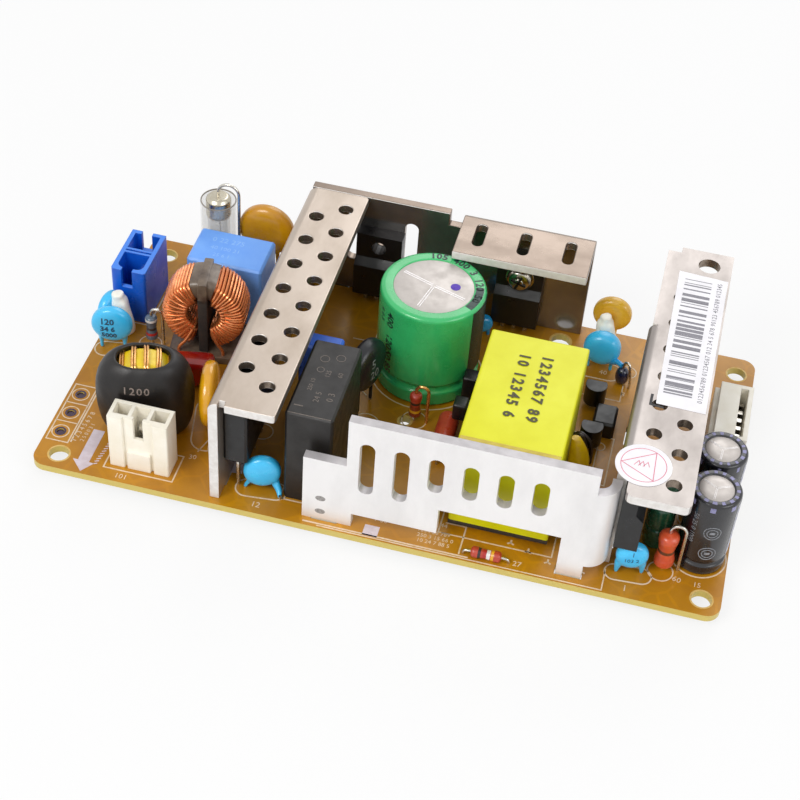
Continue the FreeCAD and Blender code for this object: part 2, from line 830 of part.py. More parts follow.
def build_rear_sink():
    x, y, length, plain = sizes("rear_sink_x", "rear_sink_y", "rear_sink_length", "rear_sink_plain_length")
    gap, drop, depth = sizes("rear_sink_gap", "rear_sink_gap_drop", "rear_sink_depth")
    body = new_body("rear_sink_body")
    wall = new_sketch(body, "XZ_Plane", "rear_sink_wall")
    shoulder = heatsink_height - drop
    add_outline(wall, [(0, 0), (length, 0), (length, heatsink_height), (plain + gap, heatsink_height),
                       (plain + gap, shoulder), (plain, shoulder), (plain, heatsink_height),
                       (0, heatsink_height)])
    slot_x, slot_pitch, low, high = sizes(
        "rear_wall_slot_x", "rear_wall_slot_pitch", "rear_wall_slot_bottom", "rear_wall_slot_top")
    tools = [slot_tool(f"rear_wall_slot_{index}", slot_x + slot_pitch * index, low, high,
                       size("slot_width") / 2) for index in range(2)]
    add_pad(body, wall, "rear_sink_sheet", sheet_thickness)
    top = new_sketch(body, "XY_Plane", "rear_sink_top", heatsink_height)
    start = plain + gap
    add_outline(top, [(start, -depth), (length, -depth), (length, 0), (start, 0)])
    add_pad(body, top, "rear_sink_flange", sheet_thickness, turned=True)
    add_round(body, "rear_sink_bend", bend_radius + sheet_thickness / 2,
              lambda edge: runs_along(edge, "x") and near(middle(edge).y, 0)
              and near(middle(edge).z, heatsink_height) and middle(edge).x > start.number)
    slot_length, slot_width, slot_x, slot_pitch = sizes(
        "rear_sink_slot_length", "rear_sink_slot_width", "rear_sink_slot_x", "rear_sink_slot_pitch")
    low = -depth / 2 - slot_length / 2
    tools += [slot_tool(f"rear_sink_slot_{index}", slot_x + slot_pitch * index, low, low + slot_length,
                        slot_width / 2, heatsink_height) for index in range(3)]
    tabs = new_sketch(body, "XY_Plane", "rear_sink_tabs")
    add_tabs(body, tabs, rear_sink_tabs(), x, y)
    hole_z = size("device_stand") + size("device_height") - size("device_hole_drop")
    shank = clear_of(size("screw_shank_diameter") / 2, "hole_sides")
    tools += [level_prism(f"{name}_wall_hole", shank, sheet_thickness * 3, hole_z, size(name + "_x") - x,
                          "hole_sides") for name in ("switch_a", "switch_b")]
    finish(cut("rear_sink_drilled", body, tools), "rear_heatsink", x, y)


def build_front_sink():
    x, y, length = sizes("front_sink_x", "front_sink_y", "front_sink_length")
    low_length, low_height, top, rise, foot = sizes(
        "front_sink_low_length", "front_sink_low_height", "front_sink_top", "front_sink_rise",
        "front_sink_foot")
    cut_start, cut_length, cut_height, leg = sizes(
        "front_sink_cut_start", "front_sink_cut_length", "front_sink_cut_height", "front_sink_leg_length")
    bend, wing, wing_drop = sizes("front_sink_bend_radius", "front_sink_wing", "front_sink_wing_drop")
    body = new_body("front_sink_body")
    face = new_sketch(body, "XZ_Plane", "front_sink_face")
    cut_end = cut_start + cut_length
    turn_start = cut_end + leg
    wing_top = top - wing_drop
    add_outline(face, [(0, 0), (foot, 0), (foot, rise), (cut_start, rise), (cut_start, cut_height),
                       (cut_end, cut_height), (cut_end, 0), (turn_start, 0), (turn_start, rise),
                       (length, rise), (length, wing_top), (turn_start, wing_top), (turn_start, top),
                       (low_length, top), (low_length, low_height), (0, low_height)])
    slot_x, slot_pitch, slot_top, short, long = sizes(
        "front_sink_slot_x", "front_sink_slot_pitch", "front_sink_slot_top", "front_sink_short_slot",
        "front_sink_long_slot")
    tools = []
    for index in range(int(dimensions["front_sink_slots"])):
        reach = long if index < dimensions["front_sink_long_slots"] else short
        tools.append(slot_tool(f"front_slot_{index}", slot_x + slot_pitch * index, slot_top - reach,
                               slot_top, size("slot_width") / 2))
    add_pad(body, face, "front_sink_sheet", sheet_thickness, turned=True)
    side = new_sketch(body, "YZ_Plane", "front_sink_side", length)
    add_outline(side, [(0, rise), (bend + wing, rise), (bend + wing, wing_top), (0, wing_top)])
    add_pad(body, side, "front_sink_wing", sheet_thickness, turned=True)
    add_round(body, "front_sink_bend", bend,
              lambda edge: runs_along(edge, "z") and near(middle(edge).x, length)
              and near(middle(edge).y, 0))
    add_round(body, "front_sink_inner_bend", bend - sheet_thickness,
              lambda edge: runs_along(edge, "z") and near(middle(edge).x, length - sheet_thickness)
              and near(middle(edge).y, sheet_thickness))
    tabs = new_sketch(body, "XY_Plane", "front_sink_tabs")
    add_tabs(body, tabs, front_sink_tabs(), x, y)
    finish(cut("front_sink_slotted", body, tools), "front_heatsink", x, y)


def build_right_sink():
    x, y, length, width = sizes("right_sink_x", "right_sink_y", "right_sink_length", "right_sink_width")
    start, wall_length, inset = sizes(
        "right_sink_wall_start", "right_sink_wall_length", "right_sink_plate_inset")
    front_step, back_step, back_depth, corner = sizes(
        "right_sink_front_step", "right_sink_back_step", "right_sink_back_step_depth",
        "right_sink_corner")
    body = new_body("right_sink_body")
    plate = new_sketch(body, "XY_Plane", "right_sink_plate", heatsink_height)
    wall_end = start + wall_length
    add_outline(plate, [(front_step, 0), (width, 0), (width, length), (back_step, length),
                        (back_step, length - back_depth), (inset, length - back_depth),
                        (inset, wall_end), (0, wall_end), (0, start), (front_step, start)])
    add_pad(body, plate, "right_sink_sheet", sheet_thickness, turned=True)
    wall = new_sketch(body, "YZ_Plane", "right_sink_wall")
    add_outline(wall, [(start, 0), (wall_end, 0), (wall_end, heatsink_height), (start, heatsink_height)])
    add_pad(body, wall, "right_sink_wall_sheet", sheet_thickness)
    add_round(body, "right_sink_bend", bend_radius + sheet_thickness / 2,
              lambda edge: runs_along(edge, "y") and near(middle(edge).x, 0)
              and near(middle(edge).z, heatsink_height))
    add_round(body, "right_sink_corners", corner,
              lambda edge: runs_along(edge, "z") and near(middle(edge).y, 0)
              and middle(edge).z > heatsink_height.number - sheet_thickness.number)
    tabs = new_sketch(body, "XY_Plane", "right_sink_tabs")
    add_tabs(body, tabs, right_sink_tabs(), x, y)
    vent_x, vent_y, row_gap, pitch = sizes(
        "right_sink_vent_x", "right_sink_vent_y", "vent_row_gap", "vent_pitch")
    large, large_x, large_y = sizes(
        "right_sink_large_vent", "right_sink_large_vent_x", "right_sink_large_vent_y")
    places = vent_places(vent_x, vent_y + pitch / 2, large_y - large)
    places.append((vent_x + row_gap, vent_y))
    tools = vent_tools("right_vent", places)
    tools.append(prism("right_large_vent", large / 2, sheet_thickness * 3, large_x, large_y,
                       heatsink_height - sheet_thickness * 2))
    finish(cut("right_sink_vented", body, tools), "right_heatsink", x, y)


build_board()
build_left_sink()
build_rear_sink()
build_front_sink()
build_right_sink()


# Connectors, moulded housings with open wells and square pins.
def add_pin(name, x, y, low, rise):
    width = size("pin_width")
    pin = block(name, width, width, rise, x - origin_x - width / 2, y - origin_y - width / 2,
                board_thickness + low)
    pins.append(pin)
    solder_points.append((x, y))


def build_inlet():
    x, y, length, depth, height = sizes("inlet_x", "inlet_y", "inlet_length", "inlet_depth", "inlet_height")
    wall, floor, rib, cells = sizes("inlet_wall", "inlet_floor", "inlet_rib", "inlet_cells")
    slot, slot_depth, latch_width, latch_height = sizes(
        "inlet_front_slot", "inlet_front_slot_depth", "inlet_latch_width", "inlet_latch_height")
    count = int(cells.number)
    cell = (length - wall * (count + 1)) / count
    body = new_body("inlet_housing")
    outline = new_sketch(body, "XY_Plane", "inlet_outline")
    pillar = size("inlet_pillar")
    add_outline(outline, [(0, 0), (pillar, 0), (pillar, rib), (length - pillar, rib),
                          (length - pillar, 0), (length, 0), (length, depth), (0, depth)])
    add_pad(body, outline, "inlet_block", height)
    add_round(body, "inlet_edges", rib / 2,
              lambda edge: runs_along(edge, "z") and near(middle(edge).y, 0))
    wells = new_sketch(body, "XY_Plane", "inlet_wells", height)
    for index in range(count):
        low_x = wall + (cell + wall) * index
        low_y = rib + wall
        add_outline(wells, [(low_x, low_y), (low_x + cell, low_y), (low_x + cell, depth - wall),
                            (low_x, depth - wall)])
    add_pocket(body, wells, "inlet_well_cut", height - floor)
    latch = new_sketch(body, "XY_Plane", "inlet_latch")
    low_x = (length - latch_width) / 2
    add_outline(latch, [(low_x, 0), (low_x + latch_width, 0), (low_x + latch_width, rib), (low_x, rib)])
    add_pad(body, latch, "inlet_latch_block", latch_height)
    gate = new_sketch(body, "XZ_Plane", "inlet_gate")
    low_x = (length - slot) / 2
    add_outline(gate, [(low_x, height - slot_depth), (low_x + slot, height - slot_depth),
                       (low_x + slot, height), (low_x, height)])
    add_pocket(body, gate, "inlet_gate_cut", rib + wall)
    finish(body, "inlet_housing", x, y)
    rise = size("inlet_pin_rise")
    for index in range(count):
        middle_x = wall + cell / 2 + (cell + wall) * index
        middle_y = (rib + depth) / 2
        add_pin(f"inlet_pin_{index}", x + middle_x, y + middle_y, floor, rise)


def build_header():
    x, y, length, width, height = sizes(
        "header_x", "header_y", "header_length", "header_width", "header_height")
    wall, floor, divider = sizes("header_wall", "header_floor", "header_divider")
    slot, slot_depth, cut_back, cut_height = sizes(
        "header_slot_width", "header_slot_depth", "header_foot_cut", "header_foot_cut_height")
    body = new_body("blue_header_housing")
    outline = new_sketch(body, "XY_Plane", "header_outline")
    add_outline(outline, [(0, 0), (width, 0), (width, length), (0, length)])
    add_pad(body, outline, "header_block", height)
    add_round(body, "header_edges", size("header_edge"),
              lambda edge: runs_along(edge, "z") and near(middle(edge).y, 0))
    well = (length - wall * 2 - divider) / 2
    wells = new_sketch(body, "XY_Plane", "header_wells", height)
    for index in range(2):
        low_y = wall + (well + divider) * index
        add_outline(wells, [(wall, low_y), (width - wall, low_y), (width - wall, low_y + well),
                            (wall, low_y + well)])
    add_pocket(body, wells, "header_well_cut", height - floor)
    add_round(body, "header_front_well", size("header_well_corner"),
              lambda edge: runs_along(edge, "z") and near(middle(edge).y, wall)
              and middle(edge).z > floor.number)
    slots = new_sketch(body, "XZ_Plane", "header_slots")
    low_x = (width - slot) / 2 - size("header_slot_shift")
    add_outline(slots, [(low_x, height - slot_depth), (low_x + slot, height - slot_depth),
                        (low_x + slot, height), (low_x, height)])
    add_pocket(body, slots, "header_front_slot", wall)
    rear = new_sketch(body, "XZ_Plane", "header_rear_slots", -length)
    add_outline(rear, [(low_x, height - slot_depth), (low_x + slot, height - slot_depth),
                       (low_x + slot, height), (low_x, height)])
    add_pocket(body, rear, "header_rear_slot", wall, turned=True)
    groove = new_sketch(body, "XY_Plane", "header_groove", height)
    groove_width, groove_depth = sizes("header_groove_width", "header_groove_depth")
    low_y, high_y = (length - groove_width) / 2, (length + groove_width) / 2
    add_outline(groove, [(wall, low_y), (width - wall, low_y), (width - wall, high_y), (wall, high_y)])
    add_pocket(body, groove, "header_divider_groove", groove_depth)
    foot = new_sketch(body, "XZ_Plane", "header_foot")
    add_outline(foot, [(0, 0), (wall / 2, 0), (wall / 2, cut_height), (0, cut_height)])
    add_pocket(body, foot, "header_foot_cut_out", cut_back)
    finish(body, "blue_header_housing", x, y)
    rise = size("header_pin_rise")
    for index in range(2):
        pin_y = wall + well / 2 + (well + divider) * index
        add_pin(f"header_pin_{index}", x + width / 2, y + pin_y, floor, rise - floor)


def build_output():
    x, y, length, width, height = sizes(
        "output_x", "output_y", "output_length", "output_width", "output_height")
    wall, floor, slot, ways = sizes("output_wall", "output_floor", "output_slot_width", "output_ways")
    body = new_body("output_housing")
    outline = new_sketch(body, "XY_Plane", "output_outline")
    add_outline(outline, [(0, 0), (width, 0), (width, length), (0, length)])
    add_pad(body, outline, "output_block", height)
    trough = new_sketch(body, "XY_Plane", "output_trough", height)
    high_x = width - wall
    add_outline(trough, [(high_x - slot, wall), (high_x, wall), (high_x, length - wall),
                         (high_x - slot, length - wall)])
    add_pocket(body, trough, "output_trough_cut", height - floor)
    side = new_sketch(body, "XZ_Plane", "output_side")
    add_outline(side, [(0, height - wall * 2), (wall, height - wall * 2), (wall, height), (0, height)])
    add_pocket(body, side, "output_side_cut", length)
    finish(body, "output_housing", x, y)
    rise = size("output_pin_rise")
    count = int(ways.number)
    pitch = (length - wall * 2) / count
    pin_x = width - wall - slot / 2
    for index in range(count):
        pin_y = wall + pitch / 2 + pitch * index
        add_pin(f"output_pin_{index}", x + pin_x, y + pin_y, floor, rise - floor)


# Wound rings stand upright, their axes level.
def upright(item, z):
    item.Placement.Rotation = FreeCAD.Rotation(FreeCAD.Vector(1, 0, 0), 90)
    return move(item, 0, 0, z)


def ring(name, bore, diameter, depth, z):
    return cut(name, level_prism(name + "_outside", diameter / 2, depth, z),
               [level_prism(name + "_inside", clear_of(bore / 2), depth * 2, z)])


# The outline of one turn around the ring's section, its corners cut off.
def turn_outline(inner, outer, half_depth, chamfer):
    return [(inner + chamfer, -half_depth), (outer - chamfer, -half_depth),
            (outer, -half_depth + chamfer), (outer, half_depth - chamfer),
            (outer - chamfer, half_depth), (inner + chamfer, half_depth),
            (inner, half_depth - chamfer), (inner, -half_depth + chamfer)]


# A winding is one flat turn, repeated about the ring's axis; the turns meet in the bore.
def wound_body(name, bore, diameter, depth, wire, chamfer, width, turns, span):
    body = new_body(name)
    turn = new_sketch(body, "XZ_Plane", name + "_turn")
    add_outline(turn, turn_outline(bore / 2 - wire, diameter / 2 + wire, depth / 2 + wire, chamfer))
    inner = chord_rise(bore / 2, width)
    add_outline(turn, [(inner, -depth / 2), (diameter / 2, -depth / 2),
                       (diameter / 2, depth / 2), (inner, depth / 2)])
    pad = add_pad(body, turn, name + "_pad", width)
    pad.Midplane = True
    doc.recompute()
    pattern = body.newObject("PartDesign::PolarPattern", name + "_turns")
    pattern.Originals = [pad]
    pattern.Axis = (turn, ["V_Axis"])
    pattern.Occurrences = int(turns.number)
    pattern.setExpression("Occurrences", turns.formula)
    bind(pattern, Angle=span)
    body.Tip = pattern
    return body


# The choke stands in a shrunk sleeve, a bevelled bag that is open at its mouth.
def build_choke():
    x, y, turn, height = sizes("choke_x", "choke_y", "choke_turn", "choke_height")
    diameter, bore, depth, chamfer, width = sizes(
        "choke_core_diameter", "choke_core_bore", "choke_core_depth", "choke_turn_chamfer",
        "choke_turn_width")
    wire, turns, wall, mouth, shoulder = sizes(
        "choke_wire", "choke_turns", "choke_sleeve_wall", "choke_mouth_length", "choke_shoulder")
    sleeve_length, sleeve_depth, foot_length, foot_depth = sizes(
        "choke_sleeve_length", "choke_sleeve_depth", "choke_foot_length", "choke_foot_depth")
    radius = sleeve_length / 2
    centre = height - chord_rise(radius, mouth)
    finish(ring("choke_ring", bore, diameter, depth, centre), "choke_core", x, y, 0, turn)
    winding = wound_body("choke_wires", bore, diameter, depth, wire, chamfer, width, turns, 360)
    finish(group("choke_winding_set", [upright(winding, centre)]), "choke_winding", x, y, 0, turn)
    bag = rimmed_disc("choke_bag", radius, sleeve_depth, centre, shoulder, "wide_sides")
    hollow = rimmed_disc("choke_hollow", radius - wall, sleeve_depth - wall * 2, centre, shoulder,
                         "wide_sides")
    foot = block("choke_foot", foot_length, foot_depth, centre - radius + wall, -foot_length / 2,
                 -foot_depth / 2, 0)
    span = sleeve_length * 2
    opening = block("choke_opening", span, span, span, -span / 2, -span / 2, height)
    sleeve = cut("choke_sleeve_cut", fuse("choke_sleeve_fused", [bag, foot]), [hollow, opening])
    finish(sleeve, "choke_sleeve", x, y, 0, turn)
    add_solder(x, y, turn, foot_length / 2)


# How far above its centre a circle has the given chord.
def chord_rise(radius, chord):
    number = math.sqrt(radius.number ** 2 - (chord.number / 2) ** 2)
    return Size(number, f"sqrt({radius.formula} ^ 2 - ({chord.formula} / 2) ^ 2)")


def add_solder(x, y, turn, pitch):
    for side in (-1, 1):
        reach = pitch / 2 * side
        solder_points.append((x + reach * cosine(turn), y + reach * sine(turn)))


# The filter ring carries a winding on each side of an upright divider.
def build_filter():
    x, y, turn, rise = sizes("filter_x", "filter_y", "filter_turn", "filter_rise")
    diameter, bore, depth, wire = sizes(
        "filter_core_diameter", "filter_core_bore", "filter_core_depth", "filter_wire")
    turns, width, chamfer, first = sizes(
        "filter_turns", "filter_turn_width", "filter_turn_chamfer", "filter_first_turn")
    centre = rise + diameter / 2 + wire
    finish(ring("filter_ring", bore, diameter, depth, centre), "filter_core", x, y, 0, turn)
    for name, start in (("left", 90), ("right", 270)):
        body = wound_body(f"filter_wires_{name}", bore, diameter, depth, wire, chamfer, width, turns,
                          180 - first * 2)
        swing = start + first
        body.Placement.Rotation = FreeCAD.Rotation(FreeCAD.Vector(0, 0, 1), swing.number)
        body.setExpression("Placement.Rotation.Angle", swing.formula)
        holder = upright(group(f"filter_holder_{name}", [body]), centre)
        finish(group(f"filter_winding_set_{name}", [holder]), f"filter_winding_{name}", x, y, 0, turn)
    divider, base_length, base_depth, base_height = sizes(
        "filter_divider", "filter_base_length", "filter_base_depth", "filter_base_height")
    low, high = base_height, centre + diameter / 2 + wire
    plate = block("filter_plate", divider, depth + wire * 2, high - low, -divider / 2,
                  -depth / 2 - wire, low)
    seat = ring("filter_seat", bore, diameter, depth, centre)
    base = block("filter_foot", base_length, base_depth, base_height, -base_length / 2, -base_depth / 2)
    carrier = fuse("filter_carrier_fused", [cut("filter_plate_cut", plate, [seat]), base])
    finish(carrier, "filter_carrier", x, y, 0, turn)
    add_solder(x, y, turn, base_length / 2)


# Box shaped parts with bevelled edges.
def build_box(label, length, depth, height, x, y, edge, z=0, turn=None):
    box = block(label + "_block", length, depth, height, -length / 2, -depth / 2)
    bevelled = bevel(label + "_bevel", box, edge, lambda item: not near(middle(item).z, 0))
    finish(bevelled, label, x + length / 2, y + depth / 2, z, turn)


def build_boxes():
    edge = size("box_edge")
    x, y, length, depth, height = sizes(
        "line_cap_x", "line_cap_y", "line_cap_length", "line_cap_depth", "line_cap_height")
    build_box("line_capacitor", length, depth, height, x, y, edge)
    solder_points.append((x + edge * 2, y + depth / 2))
    solder_points.append((x + length - edge * 2, y + depth / 2))
    x, y, length, depth, height = sizes(
        "small_box_x", "small_box_y", "small_box_length", "small_box_depth", "small_box_height")
    build_box("small_box_capacitor", length, depth, height, x, y, edge)
    solder_points.append((x + edge * 3, y + depth / 2))
    solder_points.append((x + length - edge * 3, y + depth / 2))
    x, y, width, depth, height, edge = sizes(
        "relay_x", "relay_y", "relay_width", "relay_depth", "relay_height", "relay_edge")
    build_box("relay", width, depth, height, x, y, edge)
    span_x, span_y = sizes("relay_pin_span_x", "relay_pin_span_y")
    for way_x in (-1, 1):
        for way_y in (-1, 1):
            solder_points.append((x + width / 2 + span_x / 2 * way_x, y + depth / 2 + span_y / 2 * way_y))
    x, y, length, width, height = sizes(
        "coupler_x", "coupler_y", "coupler_length", "coupler_width", "coupler_height")
    build_box("optocoupler", length, width, height, x - length / 2, y - width / 2, size("box_edge"))
    x, y, length, depth, height, turn = sizes(
        "red_film_x", "red_film_y", "red_film_length", "red_film_depth", "red_film_height", "red_film_turn")
    build_box("red_film_capacitor", length, depth, height, x - length / 2, y - depth / 2, depth / 4, 0, turn)


# Electrolytic capacitors: an aluminium can in a shrunk sleeve that leaves a window on top.
def can_form(name, radius, height, rim, groove, sides):
    if groove is None:
        blank = prism(name + "_body", radius, height, sides=sides)
    else:
        low, depth, width = groove
        blank = fuse(name + "_stack", [
            prism(name + "_foot", radius, low, sides=sides),
            prism(name + "_waist", radius - depth, width, 0, 0, low, sides),
            prism(name + "_body", radius, height - low - width, 0, 0, low + width, sides)])
    return bevel(name, blank, rim, lambda edge: near(middle(edge).z, height))


def build_electrolytic(label, prefix, x, y, groove, sides):
    diameter, height, window, sleeve, rim = sizes(
        prefix + "_diameter", prefix + "_height", prefix + "_window", prefix + "_sleeve", prefix + "_rim")
    outer = diameter / 2
    inner = outer - sleeve
    inner_groove = groove
    if groove is not None:
        low, depth, width = groove
        inner_groove = (low - sleeve, depth, width + sleeve * 2)
    can = can_form(label + "_metal", inner, height - sleeve, rim, inner_groove, sides)
    finish(group(label + "_can_set", [can]), label + "_can", x, y)
    skin = can_form(label + "_skin", outer, height, rim, groove, sides)
    inside = can_form(label + "_inside", inner, height - sleeve, rim, inner_groove, sides)
    opening = prism(label + "_opening", window / 2, height, 0, 0, height / 2, sides)
    finish(cut(label + "_skin_cut", skin, [inside, opening]), label + "_sleeve", x, y)
    solder_points.append((x - outer / 2, y))
    solder_points.append((x + outer / 2, y))


def build_electrolytics():
    groove = sizes("bulk_groove_height", "bulk_groove_depth", "bulk_groove_width")
    build_electrolytic("bulk_capacitor", "bulk", *sizes("bulk_x", "bulk_y"), groove, "wide_sides")
    x, y, pitch = sizes("output_cap_x", "output_cap_y", "output_cap_pitch")
    for index, name in enumerate(("front", "rear")):
        build_electrolytic(f"output_capacitor_{name}", "output_cap", x, y + pitch * index, None,
                           "round_sides")


def build_transformer():
    x, y, width, depth, height, rise = sizes(
        "transformer_x", "transformer_y", "transformer_width", "transformer_depth",
        "transformer_height", "transformer_rise")
    tape, edge, lip, base, lip_depth = sizes(
        "transformer_tape", "transformer_edge", "bobbin_lip", "bobbin_base", "bobbin_lip_depth")
    inner_width, inner_depth, inner_height = width - tape * 2, depth - tape * 2, height - rise - tape
    core = block("transformer_block", inner_width, inner_depth, inner_height, -inner_width / 2,
                 -inner_depth / 2, rise)
    finish(group("transformer_core_set", [core]), "transformer_core", x, y)
    wrap = block("transformer_wrap", width, depth, height - rise, -width / 2, -depth / 2, rise)
    rounded = bevel("transformer_wrap_edges", wrap, edge,
                    lambda item: middle(item).z > (height - tape).number
                    or runs_along(item, "z"))
    inside = block("transformer_inside", inner_width, inner_depth, inner_height, -inner_width / 2,
                   -inner_depth / 2, rise)
    finish(cut("transformer_tape_cut", rounded, [inside]), "transformer_tape", x, y)
    foot = block("bobbin_foot", inner_width, inner_depth - lip * 2, rise, -inner_width / 2,
                 -inner_depth / 2 + lip, 0)
    pieces = [foot]
    for side, low_x in (("left", -width / 2 - lip), ("right", width / 2)):
        for index, share in enumerate((-1, 1)):
            low_y = lip_depth * share - lip_depth / 2
            pieces.append(block(f"bobbin_lip_{side}_{index}", lip, lip_depth, base, low_x, low_y, 0))
            bridge_x = low_x if side == "left" else inner_width / 2 - lip
            pieces.append(block(f"bobbin_web_{side}_{index}", lip * 2 + tape, lip_depth, rise, bridge_x,
                                low_y, 0))
    finish(fuse("bobbin_fused", pieces), "transformer_bobbin", x, y)
    for side in (-1, 1):
        for row in (-2, -1, 1, 2):
            solder_points.append((x + (width + lip) / 2 * side, y + lip_depth * row / 2))


# Disc shaped parts stand on two coated legs.
def build_disc(label, x, y, diameter, thickness, rise, turn, pitch, sides):
    leg = size("disc_leg_radius")
    disc = rimmed_disc(label + "_disc", diameter / 2, thickness, rise, size("disc_edge"), sides)
    legs = [prism(f"{label}_leg_{side}", leg, rise, pitch / 2 * way, 0, 0, "wire_sides")
            for side, way in (("a", -1), ("b", 1))]
    finish(fuse(label + "_fused", [disc] + legs), label, x, y, 0, turn)
    add_solder(x, y, turn, pitch)


def build_discs():
    wide, narrow = sizes("disc_leg_pitch", "small_leg_pitch")
    for label, prefix, pitch in (
            ("disc_capacitor_left", "left_disc", wide), ("disc_capacitor_far_left", "far_left_disc", wide),
            ("disc_capacitor_front", "front_disc", wide), ("disc_capacitor_right", "right_disc", wide),
            ("disc_capacitor_rear", "rear_disc", wide), ("disc_capacitor_small", "small_disc", narrow),
            ("varistor_rear", "varistor", wide), ("varistor_front", "edge_disc", wide),
            ("ochre_disc_capacitor", "ochre_disc", narrow), ("thermistor", "thermistor", wide)):
        values = [size(f"{prefix}_{name}") for name in ("x", "y", "diameter", "thickness", "rise", "turn")]
        sides = "round_sides" if dimensions[f"{prefix}_diameter"] > dimensions["wide_disc"] else "hole_sides"
        build_disc(label, *values, pitch, sides)


# Sealant flows around the disc that it holds.
def build_sealant():
    beads = []
    for name, held in (("left", "disc_capacitor_far_left"), ("rear", "disc_capacitor_rear")):
        x, y, diameter, height = [
            size(f"sealant_{name}_{item}") for item in ("x", "y", "diameter", "height")]
        blank = prism(f"sealant_{name}_blank", diameter / 2, height, sides="bead_sides")
        bead = bevel(f"sealant_{name}_bead", blank, diameter / 4, lambda edge: near(middle(edge).z, height))
        placed = move(group(f"sealant_{name}", [bead]), x - origin_x, y - origin_y, board_thickness)
        disc = [item for item in parts if item.Label == held]
        beads.append(cut(f"sealant_{name}_cut", placed, disc))
    sealant = group("sealant_group", beads)
    sealant.Label = "sealant_beads"
    parts.append(sealant)


# Power devices: a flat moulded case with a thinner screw tab, and flat leads down to the board.
def build_device(label, x, y, stand, turn):
    width, height, thickness = sizes("device_width", "device_height", "device_thickness")
    tab_height, tab_thickness, hole, drop = sizes(
        "device_tab_height", "device_tab_thickness", "device_hole_diameter", "device_hole_drop")
    body = new_body(label + "_case")
    side = new_sketch(body, "YZ_Plane", label + "_side")
    slope = thickness - tab_thickness
    add_outline(side, [(0, 0), (0, height), (-tab_thickness, height),
                       (-tab_thickness, height - tab_height + slope), (-thickness, height - tab_height),
                       (-thickness, 0)])
    pad = add_pad(body, side, label + "_pad", width)
    pad.Midplane = True
    drill = level_prism(label + "_hole", clear_of(hole / 2, "hole_sides"), thickness * 3, height - drop,
                        sides="hole_sides")
    finish(cut(label + "_drilled", body, [drill]), label, x, y, stand, turn)


def add_device_leads(name, x, y, stand, turn, count, pitch):
    lead_width, lead_thickness = sizes("device_lead_width", "device_lead_thickness")
    leads = []
    for index in range(count):
        offset = pitch * (index - (count - 1) / 2)
        leads.append(block(f"{name}_lead_{index}", lead_width, lead_thickness, stand,
                           offset - lead_width / 2, -lead_thickness / 2, 0))
        solder_points.append((x + offset * cosine(turn), y + offset * sine(turn)))
    lead_parts.append(move(group(name + "_leads", leads), x - origin_x, y - origin_y,
                           board_thickness, turn))


def build_screw(x, y, z):
    head, head_height, shank = sizes("screw_head_diameter", "screw_head_height", "screw_shank_diameter")
    reach = size("device_tab_thickness") + sheet_thickness
    head_blank = prism("screw_head_blank", head / 2, head_height)
    head_form = bevel("screw_head", head_blank, head_height / 2,
                      lambda edge: near(middle(edge).z, head_height))
    stem = prism("screw_shank", shank / 2, reach, 0, 0, -reach, "hole_sides")
    screw = upright(fuse("screw", [head_form, stem]), 0)
    finish(group("screw_set", [screw]), "heatsink_screw", x, y, z)


def build_devices():
    thickness, tab_thickness, stand, height, drop, pitch = sizes(
        "device_thickness", "device_tab_thickness", "device_stand", "device_height", "device_hole_drop",
        "device_lead_pitch")
    wall_y = size("rear_sink_y") - sheet_thickness
    for label, prefix in (("power_switch_left", "switch_a"), ("power_switch_right", "switch_b")):
        x = size(prefix + "_x")
        build_device(label, x, wall_y, stand, None)
        add_device_leads(prefix, x, wall_y - thickness / 2, stand, as_size(0), 3, pitch)
    build_screw(size("switch_b_x"), wall_y - tab_thickness, stand + height - drop)
    side_turn = as_size(90)
    wall_x = size("right_sink_x") + sheet_thickness
    y, diode_stand, shift = sizes("diode_y", "diode_stand", "diode_lead_shift")
    build_device("output_rectifier", wall_x, y, diode_stand, side_turn)
    add_device_leads("diode", wall_x + thickness / 2, y + shift, diode_stand, side_turn, 2, pitch)
    x = size("left_sink_x") + sheet_thickness
    y, width, height, thickness, stand = sizes(
        "bridge_y", "bridge_width", "bridge_height", "bridge_thickness", "bridge_stand")
    build_box("bridge_rectifier", thickness, width, height, x, y - width / 2, size("box_edge"), stand)
    add_device_leads("bridge", x + thickness / 2, y, stand, side_turn, 4, pitch * 2)


def build_fuse():
    x, y, rise, length, glass, cap, cap_length, wall = sizes(
        "fuse_x", "fuse_y", "fuse_rise", "fuse_length", "fuse_glass_diameter", "fuse_cap_diameter",
        "fuse_cap_length", "fuse_wall")
    glass_length, glass_rise = length - cap_length * 2, rise + cap_length
    finish(tube("fuse_tube", glass / 2, glass / 2 - wall, glass_length, glass_rise, "hole_sides"),
           "fuse_glass", x, y)
    edge = wall
    caps = [rimmed_prism("fuse_cap_low", cap / 2, cap_length, rise, edge, "hole_sides"),
            rimmed_prism("fuse_cap_high", cap / 2, cap_length, rise + length - cap_length, edge,
                         "hole_sides")]
    finish(group("fuse_cap_pair", caps), "fuse_caps", x, y)
    diameter, sleeve_wall, sleeve_length = sizes(
        "fuse_sleeve_diameter", "fuse_sleeve_wall", "fuse_sleeve_length")
    finish(tube("fuse_sleeve_tube", diameter / 2, diameter / 2 - sleeve_wall, sleeve_length),
           "fuse_sleeve", x, y)


